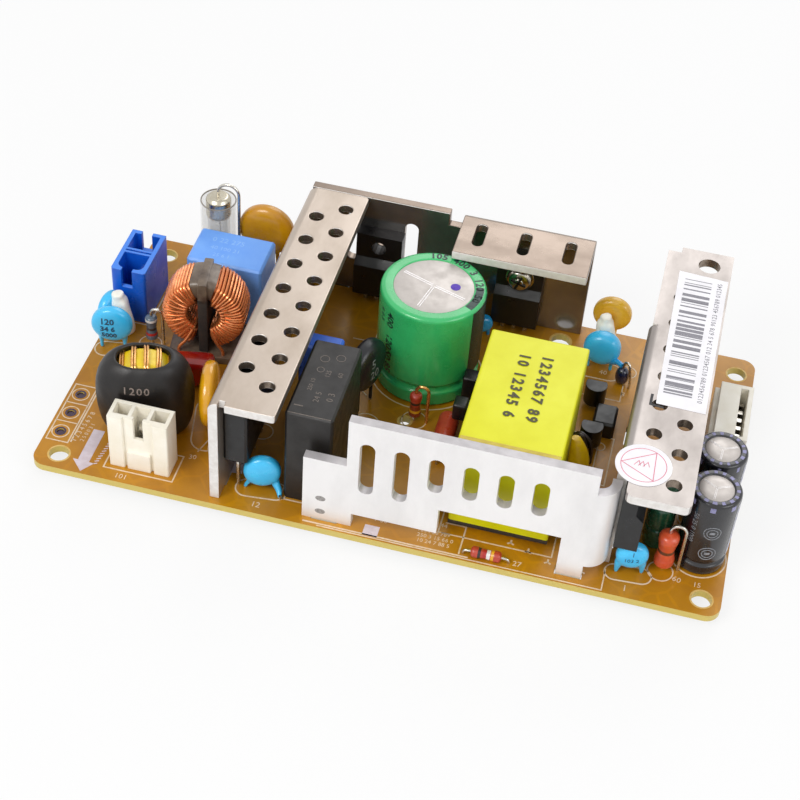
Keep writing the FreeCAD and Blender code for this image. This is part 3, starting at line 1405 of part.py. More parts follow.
# Leads bent like a hairpin: up from a part's end, over in an arch and down to the board.
def hairpin(name, x, y, start, top, reach):
    radius, steps = sizes("lead_radius", "lead_bend_steps")
    half = reach / 2

    def arch(bend):
        turns = [as_size(180) - as_size(180) * step / steps for step in range(int(steps.number) + 1)]
        return [(half + bend * cosine(turn), top + bend * sine(turn)) for turn in turns]

    outside, inside = arch(half + radius), arch(half - radius)
    body = new_body(name + "_body")
    outline = new_sketch(body, "XZ_Plane", name + "_outline")
    add_outline(outline, [(-radius, start)] + outside + [(reach + radius, 0), (reach - radius, 0)]
                + inside[::-1] + [(radius, start)])
    pad = add_pad(body, outline, name + "_pad", radius * 2)
    pad.Midplane = True
    solder_points.append((x + reach, y))
    return move(group(name, [body]), x - origin_x, y - origin_y, board_thickness)


def stub(name, x, y, height):
    return prism(name, size("lead_radius"), height, x - origin_x, y - origin_y, board_thickness,
                 "wire_sides")


# A resistor's bead: two bulbs joined by a narrower waist, its outer ends bevelled.
def build_bead(name, diameter, length):
    bulb, waist = length * size("bead_bulb_share"), diameter / 2 * size("bead_waist_share")
    low = prism(name + "_low", diameter / 2, bulb, sides="bead_sides")
    neck = prism(name + "_neck", waist, length - bulb * 2, 0, 0, bulb, "bead_sides")
    high = prism(name + "_high", diameter / 2, bulb, 0, 0, length - bulb, "bead_sides")
    return bevel(name + "_bead", fuse(name + "_joined", [low, neck, high]), diameter / 6,
                 lambda edge: near(middle(edge).z, 0) or near(middle(edge).z, length))


# A plain bead lies on its side when its turn is given.
def lay(item, axis, angle, x, y, z):
    item.Placement.Rotation = FreeCAD.Rotation(FreeCAD.Vector(*axis), angle)
    return move(item, x, y, z)


def build_resistors():
    lead_radius, diameter, length, rise = sizes(
        "lead_radius", "standing_resistor_diameter", "standing_resistor_length",
        "standing_resistor_rise")
    standing = [(prefix, label, *sizes(prefix + "_x", prefix + "_y"), diameter, length, rise,
                 size(prefix + "_reach"))
                for prefix, label in (("banded", "banded_resistor"), ("loop_resistor", "loop_resistor"))]
    standing.append(("orange", "orange_resistor", *[
        size(f"orange_resistor_{name}") for name in ("x", "y", "diameter", "length", "rise", "reach")]))
    for prefix, label, x, y, diameter, length, rise, reach in standing:
        bead = build_bead(prefix, diameter, length)
        finish(group(prefix + "_set", [bead]), label, x, y, rise)
        top = rise + length + lead_radius * 2
        lead_parts.append(hairpin(prefix + "_wire", x, y, rise + length, top, reach))
        lead_parts.append(stub(prefix + "_stub", x, y, rise))
        solder_points.append((x, y))
    x, y, diameter, length = [size(f"power_resistor_{name}") for name in ("x", "y", "diameter", "length")]
    rod = rimmed_prism("power_rod", diameter / 2, length, as_size(0), diameter / 6, "hole_sides")
    lying = lay(rod, (1, 0, 0), -90, 0, -length / 2, diameter / 2)
    finish(group("power_resistor_set", [lying]), "power_resistor", x, y)
    x, y, diameter, length = [size(f"lying_resistor_{name}") for name in ("x", "y", "diameter", "length")]
    lying = lay(build_bead("lying", diameter, length), (0, 1, 0), 90, -length / 2, 0, diameter / 2)
    finish(group("lying_resistor_set", [lying]), "lying_resistor", x, y)
    x, y, diameter, length = [size(f"axial_diode_{name}") for name in ("x", "y", "diameter", "length")]
    glass = rimmed_prism("diode_glass", diameter / 2, length, as_size(0), diameter / 4, "bead_sides")
    finish(group("diode_set", [glass]), "axial_diode", x, y)
    fuse_x, fuse_y, fuse_rise, fuse_length, fuse_reach = sizes(
        "fuse_x", "fuse_y", "fuse_rise", "fuse_length", "fuse_lead_reach")
    top = fuse_rise + fuse_length
    lead_parts.append(hairpin("fuse_wire", fuse_x, fuse_y, top, top + lead_radius * 3, fuse_reach))
    lead_parts.append(stub("fuse_stub", fuse_x, fuse_y, fuse_rise))
    wires = group("lead_group", lead_parts)
    wires.Label = "component_leads"
    parts.append(wires)


def build_small_parts():
    x, y, diameter, height = [size(f"green_choke_{name}") for name in ("x", "y", "diameter", "height")]
    winding = rimmed_prism("green_choke_form", diameter / 2, height, as_size(0), diameter / 8,
                           "hole_sides")
    finish(group("green_choke_set", [winding]), "green_choke", x, y)
    solder_points.append((x, y - diameter / 4))
    radius, height, rise = sizes(
        "small_transistor_radius", "small_transistor_height", "small_transistor_rise")
    transistors = []
    for name in ("front", "rear"):
        x, y = sizes(f"small_transistor_{name}_x", f"small_transistor_{name}_y")
        case = prism(f"small_transistor_{name}_round", radius, height, 0, 0, rise)
        flat = block(f"small_transistor_{name}_flat", radius * 2, radius, height, -radius, radius / 2, rise)
        case = cut(f"small_transistor_{name}_case", case, [flat])
        legs = [block(f"small_transistor_{name}_leg_{index}", radius / 5, radius / 5, rise,
                      radius / 2 * index - radius / 10, 0, 0) for index in (-1, 0, 1)]
        joined = fuse(f"small_transistor_{name}_fused", [case] + legs)
        transistors.append(move(joined, x - origin_x, y - origin_y, board_thickness))
        solder_points.append((x, y))
    transistor_group = group("small_transistor_group", transistors)
    transistor_group.Label = "small_transistors"
    parts.append(transistor_group)


def build_pins():
    pin_group = group("pin_group", pins)
    pin_group.Label = "connector_pins"
    parts.append(pin_group)


# Solder stands out below the board in small blunt points.
def build_solder():
    radius, tip, height = sizes("solder_radius", "solder_tip_radius", "solder_height")
    joints = []
    for index, (x, y) in enumerate(solder_points):
        joint = doc.addObject("Part::Wedge", f"joint_{index}")
        bind(joint, Xmin=-radius, Xmax=radius, Zmin=-radius, Zmax=radius, Ymin=0, Ymax=height,
             X2min=-tip, X2max=tip, Z2min=-tip, Z2max=tip)
        joint.Placement.Rotation = FreeCAD.Rotation(FreeCAD.Vector(1, 0, 0), -90)
        joints.append(move(joint, x - origin_x, y - origin_y, 0))
    joints_group = group("joint_group", joints)
    joints_group.Label = "solder_joints"
    parts.append(joints_group)


build_inlet()
build_header()
build_output()
build_choke()
build_filter()
build_boxes()
build_electrolytics()
build_transformer()
build_discs()
build_sealant()
build_devices()
build_fuse()
build_resistors()
build_small_parts()
build_pins()
build_solder()

doc.recompute()
for item in doc.Objects:
    if "Invalid" in item.State or "Error" in item.State:
        raise ValueError(f"{item.Name} failed: {item.State}")
for item in parts:
    if item.Shape.isNull() or not item.Shape.isValid():
        raise ValueError(f"{item.Label} has no valid shape")

os.makedirs("parts", exist_ok=True)
for item in parts:
    item.Shape.exportStep(f"parts/{item.Label}.step")
    print(item.Label, len(item.Shape.Solids), round(item.Shape.Volume, 1))
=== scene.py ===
import math
import random

import bmesh
import bpy
from mathutils import Matrix, Vector
from mathutils.bvhtree import BVHTree


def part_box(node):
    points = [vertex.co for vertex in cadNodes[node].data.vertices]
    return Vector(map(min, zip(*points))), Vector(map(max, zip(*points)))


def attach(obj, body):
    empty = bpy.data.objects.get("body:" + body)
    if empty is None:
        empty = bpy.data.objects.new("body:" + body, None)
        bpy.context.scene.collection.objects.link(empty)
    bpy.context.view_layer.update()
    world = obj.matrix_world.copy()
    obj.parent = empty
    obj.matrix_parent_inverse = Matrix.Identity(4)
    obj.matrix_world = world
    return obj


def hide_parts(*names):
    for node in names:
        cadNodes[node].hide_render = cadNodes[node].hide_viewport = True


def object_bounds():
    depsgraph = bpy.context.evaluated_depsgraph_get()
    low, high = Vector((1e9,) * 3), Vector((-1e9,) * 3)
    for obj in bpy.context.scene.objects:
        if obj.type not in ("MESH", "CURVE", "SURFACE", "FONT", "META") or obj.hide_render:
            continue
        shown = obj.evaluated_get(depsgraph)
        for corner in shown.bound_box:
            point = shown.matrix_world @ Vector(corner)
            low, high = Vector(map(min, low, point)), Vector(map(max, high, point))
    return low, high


# Power supply board: looks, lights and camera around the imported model.
# Places are in millimetres from the board's front left corner, heights from its upper face.

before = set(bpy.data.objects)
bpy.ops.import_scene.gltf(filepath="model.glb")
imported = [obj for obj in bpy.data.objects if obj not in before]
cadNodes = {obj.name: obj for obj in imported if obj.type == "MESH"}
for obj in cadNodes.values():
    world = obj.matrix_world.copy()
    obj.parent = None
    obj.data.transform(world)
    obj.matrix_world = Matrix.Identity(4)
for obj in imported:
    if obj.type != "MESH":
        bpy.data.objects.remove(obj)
cadBox = [list(corner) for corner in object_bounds()]
random.seed(7)

mm = 0.001
originX, originY, originZ = 70.5, 36.65, -1.6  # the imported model's origin, in board places


def place(x, y, z=0.0):
    return Vector((x - originX, y - originY, z - originZ)) * mm


def boxOf(node):
    low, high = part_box(node)
    shift = Vector((originX, originY, originZ))
    return low / mm + shift, high / mm + shift


def centreOf(node):
    low, high = boxOf(node)
    return (low + high) / 2


def addObject(name, data):
    piece = bpy.data.objects.new(name, data)
    bpy.context.scene.collection.objects.link(piece)
    return piece


# Colours are given as a paint chart would, 0 to 255.
def tone(red, green, blue):
    def linear(value):
        value = value / 255
        return value / 12.92 if value <= 0.04045 else ((value + 0.055) / 1.055) ** 2.4
    return (linear(red), linear(green), linear(blue), 1.0)


# Materials: a coarse noise gives patches of tone and sheen, a fine one the grain.

# patches: where the second tone sets in and is full; grain: size and depth; coat: strength and roughness.
plainLook = {
    "roughSpread": 0.12, "metal": 0.0, "patches": (0.35, 0.7), "grain": (0.4, 0.012), "coat": (0.0, 0.12),
    # upper: a lighter tone on faces that point up, painted light from above
    "stretch": (1, 1, 1), "tilt": (0, 0, 0), "edge": 0.0, "alpha": 1.0, "upper": None,
}
noisePlan = {"detail": 6, "softness": 0.62, "sheenFrom": 0.3, "sheenTo": 0.7, "grainDetail": 3,
             "shadeShare": 0.82, "leastRough": 0.02, "litTopFrom": 0.6, "litTopTo": 0.95}


def feed(tree, socket, value):
    if isinstance(value, bpy.types.NodeSocket):
        tree.links.new(value, socket)
    else:
        socket.default_value = value


def addNode(tree, kind, inputs=(), **settings):
    node = tree.nodes.new("ShaderNode" + kind)
    for name, value in settings.items():
        setattr(node, name, value)
    for name, value in dict(inputs).items():
        feed(tree, node.inputs[name], value)
    return node


def mixTones(tree, share, first, second):
    node = addNode(tree, "Mix", data_type="RGBA")
    for index, value in ((0, share), (6, first), (7, second)):  # sockets of the colour kind
        feed(tree, node.inputs[index], value)
    return node.outputs[2]


def calculate(tree, operation, *values):
    return addNode(tree, "Math", dict(enumerate(values)), operation=operation).outputs["Value"]


def upward(tree):
    surface = addNode(tree, "NewGeometry")
    return addNode(tree, "SeparateXYZ", {"Vector": surface.outputs["Normal"]}).outputs["Z"]


def stretchRange(tree, value, low, high, toLow=0.0, toHigh=1.0):
    return addNode(tree, "MapRange", {"Value": value, "From Min": low, "From Max": high,
                                      "To Min": toLow, "To Max": toHigh}).outputs["Result"]


# Sizes of patches and grain are in millimetres.
def makeMaterial(name, colour, shade, patch, rough, **changes):
    look = {**plainLook, **changes}
    (grainSize, grainDepth), (coat, coatRough) = look["grain"], look["coat"]
    material = bpy.data.materials.new(name)
    material.use_nodes = True
    tree = material.node_tree
    shader = tree.nodes["Principled BSDF"]
    coords = addNode(tree, "TexCoord")
    mapping = addNode(tree, "Mapping", {
        "Vector": coords.outputs["Object"], "Scale": look["stretch"],
        "Rotation": [math.radians(angle) for angle in look["tilt"]]}).outputs["Vector"]
    patches = addNode(tree, "TexNoise", {
        "Vector": mapping, "Scale": 1000 / patch, "Detail": noisePlan["detail"],
        "Roughness": noisePlan["softness"]}).outputs["Fac"]
    deep = tone(*shade) if shade else [noisePlan["shadeShare"] * part for part in tone(*colour)[:3]] + [1]
    spread = stretchRange(tree, patches, *look["patches"])
    base = mixTones(tree, spread, tone(*colour), deep)
    # faces that point up blend to the upper tone: painted light from above
    if look["upper"]:
        litTopShare = stretchRange(tree, upward(tree), noisePlan["litTopFrom"], noisePlan["litTopTo"])
        base = mixTones(tree, litTopShare, base, tone(*look["upper"]))
    sheen = stretchRange(tree, patches, noisePlan["sheenFrom"], noisePlan["sheenTo"],
                         max(rough - look["roughSpread"], noisePlan["leastRough"]),
                         min(rough + look["roughSpread"], 1.0))
    grain = addNode(tree, "TexNoise", {
        "Vector": mapping, "Scale": 1000 / grainSize, "Detail": noisePlan["grainDetail"]})
    bump = addNode(tree, "Bump", {
        "Height": grain.outputs["Fac"], "Strength": 1.0, "Distance": grainDepth * mm})
    if look["edge"]:
        soft = addNode(tree, "Bevel", {"Radius": look["edge"] * mm}, samples=4)
        feed(tree, bump.inputs["Normal"], soft.outputs["Normal"])
    for socket, value in (("Base Color", base), ("Roughness", sheen), ("Normal", bump.outputs["Normal"]),
                          ("Metallic", look["metal"]), ("Coat Weight", coat),
                          ("Coat Roughness", coatRough), ("Alpha", look["alpha"])):
        feed(tree, shader.inputs[socket], value)
    return material


def dress(node, finish):
    mesh = cadNodes[node].data
    mesh.materials.clear()
    mesh.materials.append(paint[finish])


def shadeSmooth(mesh, angle=40):
    mesh.polygons.foreach_set("use_smooth", [True] * len(mesh.polygons))
    mesh.set_sharp_from_angle(angle=math.radians(angle))


# Shapes are (points, faces) in millimetres.

def transformed(shape, matrix):
    points, faces = shape
    return [matrix @ Vector(point) for point in points], faces


def shifted(shape, x=0, y=0, z=0, turn=0, lean=0):
    matrix = Matrix.Translation((x, y, z)) @ Matrix.Rotation(math.radians(turn), 4, "Z") \
        @ Matrix.Rotation(math.radians(lean), 4, "X")
    return transformed(shape, matrix)


# A profile of (radius, height) points turned about the upright axis.
def latheShape(profile, segments=48):
    points, faces, rings = [], [], []
    for radius, height in profile:
        if radius < 1e-6:
            rings.append([len(points)])
            points.append((0, 0, height))
            continue
        rings.append(list(range(len(points), len(points) + segments)))
        for step in range(segments):
            angle = 2 * math.pi * step / segments
            points.append((radius * math.cos(angle), radius * math.sin(angle), height))
    for lower, upper in zip(rings, rings[1:]):
        for step in range(segments):
            following = (step + 1) % segments
            if len(lower) == 1 and len(upper) == 1:
                continue
            if len(lower) == 1:
                faces.append((lower[0], upper[following], upper[step]))
            elif len(upper) == 1:
                faces.append((lower[step], lower[following], upper[0]))
            else:
                faces.append((lower[step], lower[following], upper[following], upper[step]))
    return points, faces


# Corners of a turned profile are rounded with short arcs.
def roundedProfile(profile, radius, steps=4):
    result = [profile[0]]
    for before, corner, after in zip(profile, profile[1:], profile[2:]):
        corner, before, after = Vector(corner), Vector(before), Vector(after)
        towardBefore, towardAfter = before - corner, after - corner
        reach = min(radius, towardBefore.length * 0.45, towardAfter.length * 0.45)
        if reach < 1e-4:
            result.append(tuple(corner))
            continue
        start = corner + towardBefore.normalized() * reach
        end = corner + towardAfter.normalized() * reach
        for step in range(steps + 1):
            share = step / steps
            result.append(tuple((start * (1 - share) + corner * share) * (1 - share)
                                + (corner * (1 - share) + end * share) * share))
    result.append(profile[-1])
    return result


# Faces between rings of points that follow one another.
def skinFaces(rings, sides, closed=False, capStart=True, capEnd=True):
    faces = []
    for ring in range(rings if closed else rings - 1):
        low, high = ring * sides, ((ring + 1) % rings) * sides
        for step in range(sides):
            following = (step + 1) % sides
            faces.append((low + step, low + following, high + following, high + step))
    if capStart and not closed:
        faces.append(tuple(reversed(range(sides))))
    if capEnd and not closed:
        faces.append(tuple(range((rings - 1) * sides, rings * sides)))
    return faces


# A round wire along a path; radius may be one number or one for each point.
def wireShape(path, radius, sides=10, closed=False):
    path = [Vector(point) for point in path]
    count = len(path)
    radii = radius if isinstance(radius, (list, tuple)) else [radius] * count
    points, normal = [], None
    for index, point in enumerate(path):
        before = path[index - 1] if index or closed else point
        after = path[(index + 1) % count] if index < count - 1 or closed else point
        tangent = (after - before).normalized()
        if normal is None:
            helper = Vector((0, 0, 1)) if abs(tangent.z) < 0.9 else Vector((1, 0, 0))
            normal = tangent.cross(helper).normalized()
        normal = (normal - tangent * normal.dot(tangent)).normalized()
        side = tangent.cross(normal)
        for step in range(sides):
            angle = 2 * math.pi * step / sides
            points.append(point + (normal * math.cos(angle) + side * math.sin(angle)) * radii[index])
    return points, skinFaces(count, sides, closed)


def smoothPath(points, steps=6):
    points = [Vector(point) for point in points]
    padded = [points[0] * 2 - points[1]] + points + [points[-1] * 2 - points[-2]]
    result = []
    for index in range(1, len(padded) - 2):
        a, b, c, d = padded[index - 1:index + 3]
        for step in range(steps):
            t = step / steps
            result.append(0.5 * ((2 * b) + (c - a) * t + (2 * a - 5 * b + 4 * c - d) * t * t
                                 + (3 * b - a - 3 * c + d) * t ** 3))
    result.append(points[-1])
    return result


def boxShape(low, high, bevel=0.0, steps=3):
    low, high = Vector(low), Vector(high)
    work = bmesh.new()
    bmesh.ops.create_cube(work, size=1.0)
    size, centre = high - low, (high + low) / 2
    for vertex in work.verts:
        vertex.co = Vector((vertex.co.x * size.x, vertex.co.y * size.y, vertex.co.z * size.z)) + centre
    if bevel:
        bmesh.ops.bevel(work, geom=list(work.edges), offset=bevel, segments=steps, profile=0.6,
                        affect="EDGES")
    work.verts.index_update()
    shape = [vertex.co.copy() for vertex in work.verts], \
        [tuple(vertex.index for vertex in face.verts) for face in work.faces]
    work.free()
    return shape


# A flat printed stroke with square corners that lies on a surface at height z.
def strokeShape(path, width, z, closed=False, thick=0.03):
    path = [Vector((x, y)) for x, y in path]
    count = len(path)
    left, right = [], []
    for index, point in enumerate(path):
        before = path[index - 1] if index or closed else None
        after = path[(index + 1) % count] if index < count - 1 or closed else None
        ways = [(point - before).normalized()] if before is not None else []
        if after is not None:
            ways.append((after - point).normalized())
        along = sum(ways, Vector((0, 0)))
        along = along.normalized() if along.length > 1e-6 else ways[0]
        across = Vector((-along.y, along.x))
        lean = max(abs(Vector((-ways[0].y, ways[0].x)).dot(across)), 0.35)
        left.append(point + across * width / 2 / lean)
        right.append(point - across * width / 2 / lean)
    points = []
    for height in (z, z + thick):
        points += [(p.x, p.y, height) for p in left] + [(p.x, p.y, height) for p in right]
    faces = []
    for index in range(count if closed else count - 1):
        following = (index + 1) % count
        corners = (index, following, count + following, count + index)
        top = tuple(2 * count + corner for corner in corners)
        faces.append(tuple(reversed(top)))
        faces.append(corners)
        faces.append((corners[0], corners[1], top[1], top[0]))
        faces.append((corners[2], corners[3], top[3], top[2]))
    return points, faces


def around(x, y, radius, angle):
    return x + radius * math.cos(math.radians(angle)), y + radius * math.sin(math.radians(angle))


def circlePath(x, y, radius, segments=40, start=0, end=360):
    count = segments if abs(end - start) >= 360 else segments + 1
    return [around(x, y, radius, start + (end - start) * step / segments) for step in range(count)]


# An outline pushed along one axis into a solid.
def plateShape(outline, low, high, axis="z"):
    order = {"x": lambda a, b, level: (level, a, b), "y": lambda a, b, level: (a, level, b),
             "z": lambda a, b, level: (a, b, level)}[axis]
    count = len(outline)
    points = [order(a, b, level) for level in (low, high) for a, b in outline]
    faces = [tuple(reversed(range(count))), tuple(range(count, 2 * count))]
    faces += [(step, (step + 1) % count, count + (step + 1) % count, count + step)
              for step in range(count)]
    return points, faces


# Chosen right-angled corners of an outline are rounded.
def roundedCorners(outline, radii, steps=6):
    result = []
    for index, corner in enumerate(outline):
        radius = radii.get(index, 0)
        if not radius:
            result.append(corner)
            continue
        corner, before = Vector(corner), Vector(outline[index - 1])
        after = Vector(outline[(index + 1) % len(outline)])
        start = corner + (before - corner).normalized() * radius
        end = corner + (after - corner).normalized() * radius
        centre = start + end - corner
        for step in range(steps + 1):
            angle = math.pi / 2 * step / steps
            result.append(tuple(centre + (start - centre) * math.cos(angle)
                                + (end - centre) * math.sin(angle)))
    return result


def slotOutline(across, low, high, radius, segments=12):
    return circlePath(across, low + radius, radius, segments, 180, 360) \
        + circlePath(across, high - radius, radius, segments, 0, 180)


# Rings of points joined into a skin: used for sacks, folds and beads.
def loftShape(rings, capStart=True, capEnd=True):
    points = [point for ring in rings for point in ring]
    return points, skinFaces(len(rings), len(rings[0]), False, capStart, capEnd)


# Pieces.

mendPlan = {"printGap": 0.0002, "weldGap": 0.002, "flatAngle": 1, "flatWeight": 80}


def shapeMesh(name, shapes, shut=False):
    mesh = bpy.data.meshes.new(name)
    points, faces, finishes = [], [], []
    for entry in shapes:
        shape, finish = entry if isinstance(entry[1], int) else (entry, 0)
        start = len(points)
        points += [place(*point) for point in shape[0]]
        faces += [tuple(start + corner for corner in face) for face in shape[1]]
        finishes += [finish] * len(shape[1])
    mesh.from_pydata(points, [], faces)
    mesh.validate()
    for polygon, finish in zip(mesh.polygons, finishes):
        polygon.material_index = finish
    work = bmesh.new()
    work.from_mesh(mesh)
    if shut:
        bmesh.ops.remove_doubles(work, verts=work.verts, dist=mendPlan["printGap"] * mm)
        bmesh.ops.holes_fill(work, edges=[edge for edge in work.edges if edge.is_boundary], sides=0)
    bmesh.ops.recalc_face_normals(work, faces=work.faces)
    work.to_mesh(mesh)
    work.free()
    return mesh


# These pieces are made of strokes and cups, whose open ends are closed.
shutPieces = ("solder_fillets", "board_print", "board_white_marks", "pan_head_screw", "white_label",
              "round_sticker", "ink_corner", "relay_rim", "bulk_top", "output_top_front",
              "output_top_rear")


def makePiece(name, shapes, finishes, slot=None, replaces=(), smooth=40):
    mesh = shapeMesh(name, shapes, name in shutPieces)
    for finish in [finishes] if isinstance(finishes, str) else finishes:
        mesh.materials.append(paint[finish])
    shadeSmooth(mesh, smooth)
    piece = addObject(name, mesh)
    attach(piece, "root")
    if replaces:
        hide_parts(*replaces)
        slot = slot or replaces[0]
    return piece


# Modifiers are applied, so that the kept mesh is the one that shows.
def applyModifiers(piece):
    graph = bpy.context.evaluated_depsgraph_get()
    mesh = bpy.data.meshes.new_from_object(piece.evaluated_get(graph))
    piece.modifiers.clear()
    piece.data = mesh
    return piece


def roundOff(piece):
    rounder = piece.modifiers.new("rounder", "SUBSURF")
    rounder.levels = rounder.render_levels = 1
    return applyModifiers(piece)


# Solids are joined, crossed or cut with exact booleans.
def carve(piece, steps):
    for kind, shapes in steps:
        tool = addObject("tool", shapeMesh("tool", shapes))
        modifier = piece.modifiers.new("carve", "BOOLEAN")
        modifier.operation, modifier.solver, modifier.object = kind, "EXACT", tool
        applyModifiers(piece)
        bpy.data.objects.remove(tool)
    return piece


# Cut edges are broken with a small real bevel, and flat faces stay flat.
def softenEdges(piece, width, segments=2, limit=40):
    work = bmesh.new()
    work.from_mesh(piece.data)
    bmesh.ops.remove_doubles(work, verts=work.verts, dist=mendPlan["weldGap"] * mm)
    bmesh.ops.dissolve_limit(work, angle_limit=math.radians(mendPlan["flatAngle"]), verts=work.verts,
                             edges=work.edges)
    for edge in work.edges:
        edge.smooth = True
    for face in work.faces:
        face.smooth = True
    work.to_mesh(piece.data)
    work.free()
    bevel = piece.modifiers.new("soften", "BEVEL")
    bevel.width, bevel.segments = width * mm, segments
    bevel.limit_method, bevel.angle_limit = "ANGLE", math.radians(limit)
    flatten = piece.modifiers.new("flatten", "WEIGHTED_NORMAL")
    flatten.weight = mendPlan["flatWeight"]
    return applyModifiers(piece)


# Dipped coatings have no hard joints: the parts are merged and smoothed.
def meltPiece(piece, voxel=0.16, rounds=6, factor=0.6):
    materials = list(piece.data.materials)
    remesh = piece.modifiers.new("melt", "REMESH")
    remesh.mode = "VOXEL"
    remesh.voxel_size = voxel * mm
    relax = piece.modifiers.new("relax", "SMOOTH")
    relax.factor = factor
    relax.iterations = rounds
    applyModifiers(piece)
    piece.data.materials.clear()
    for material in materials:
        piece.data.materials.append(material)
    piece.data.polygons.foreach_set("use_smooth", [True] * len(piece.data.polygons))
    return piece


print("stage: materials")

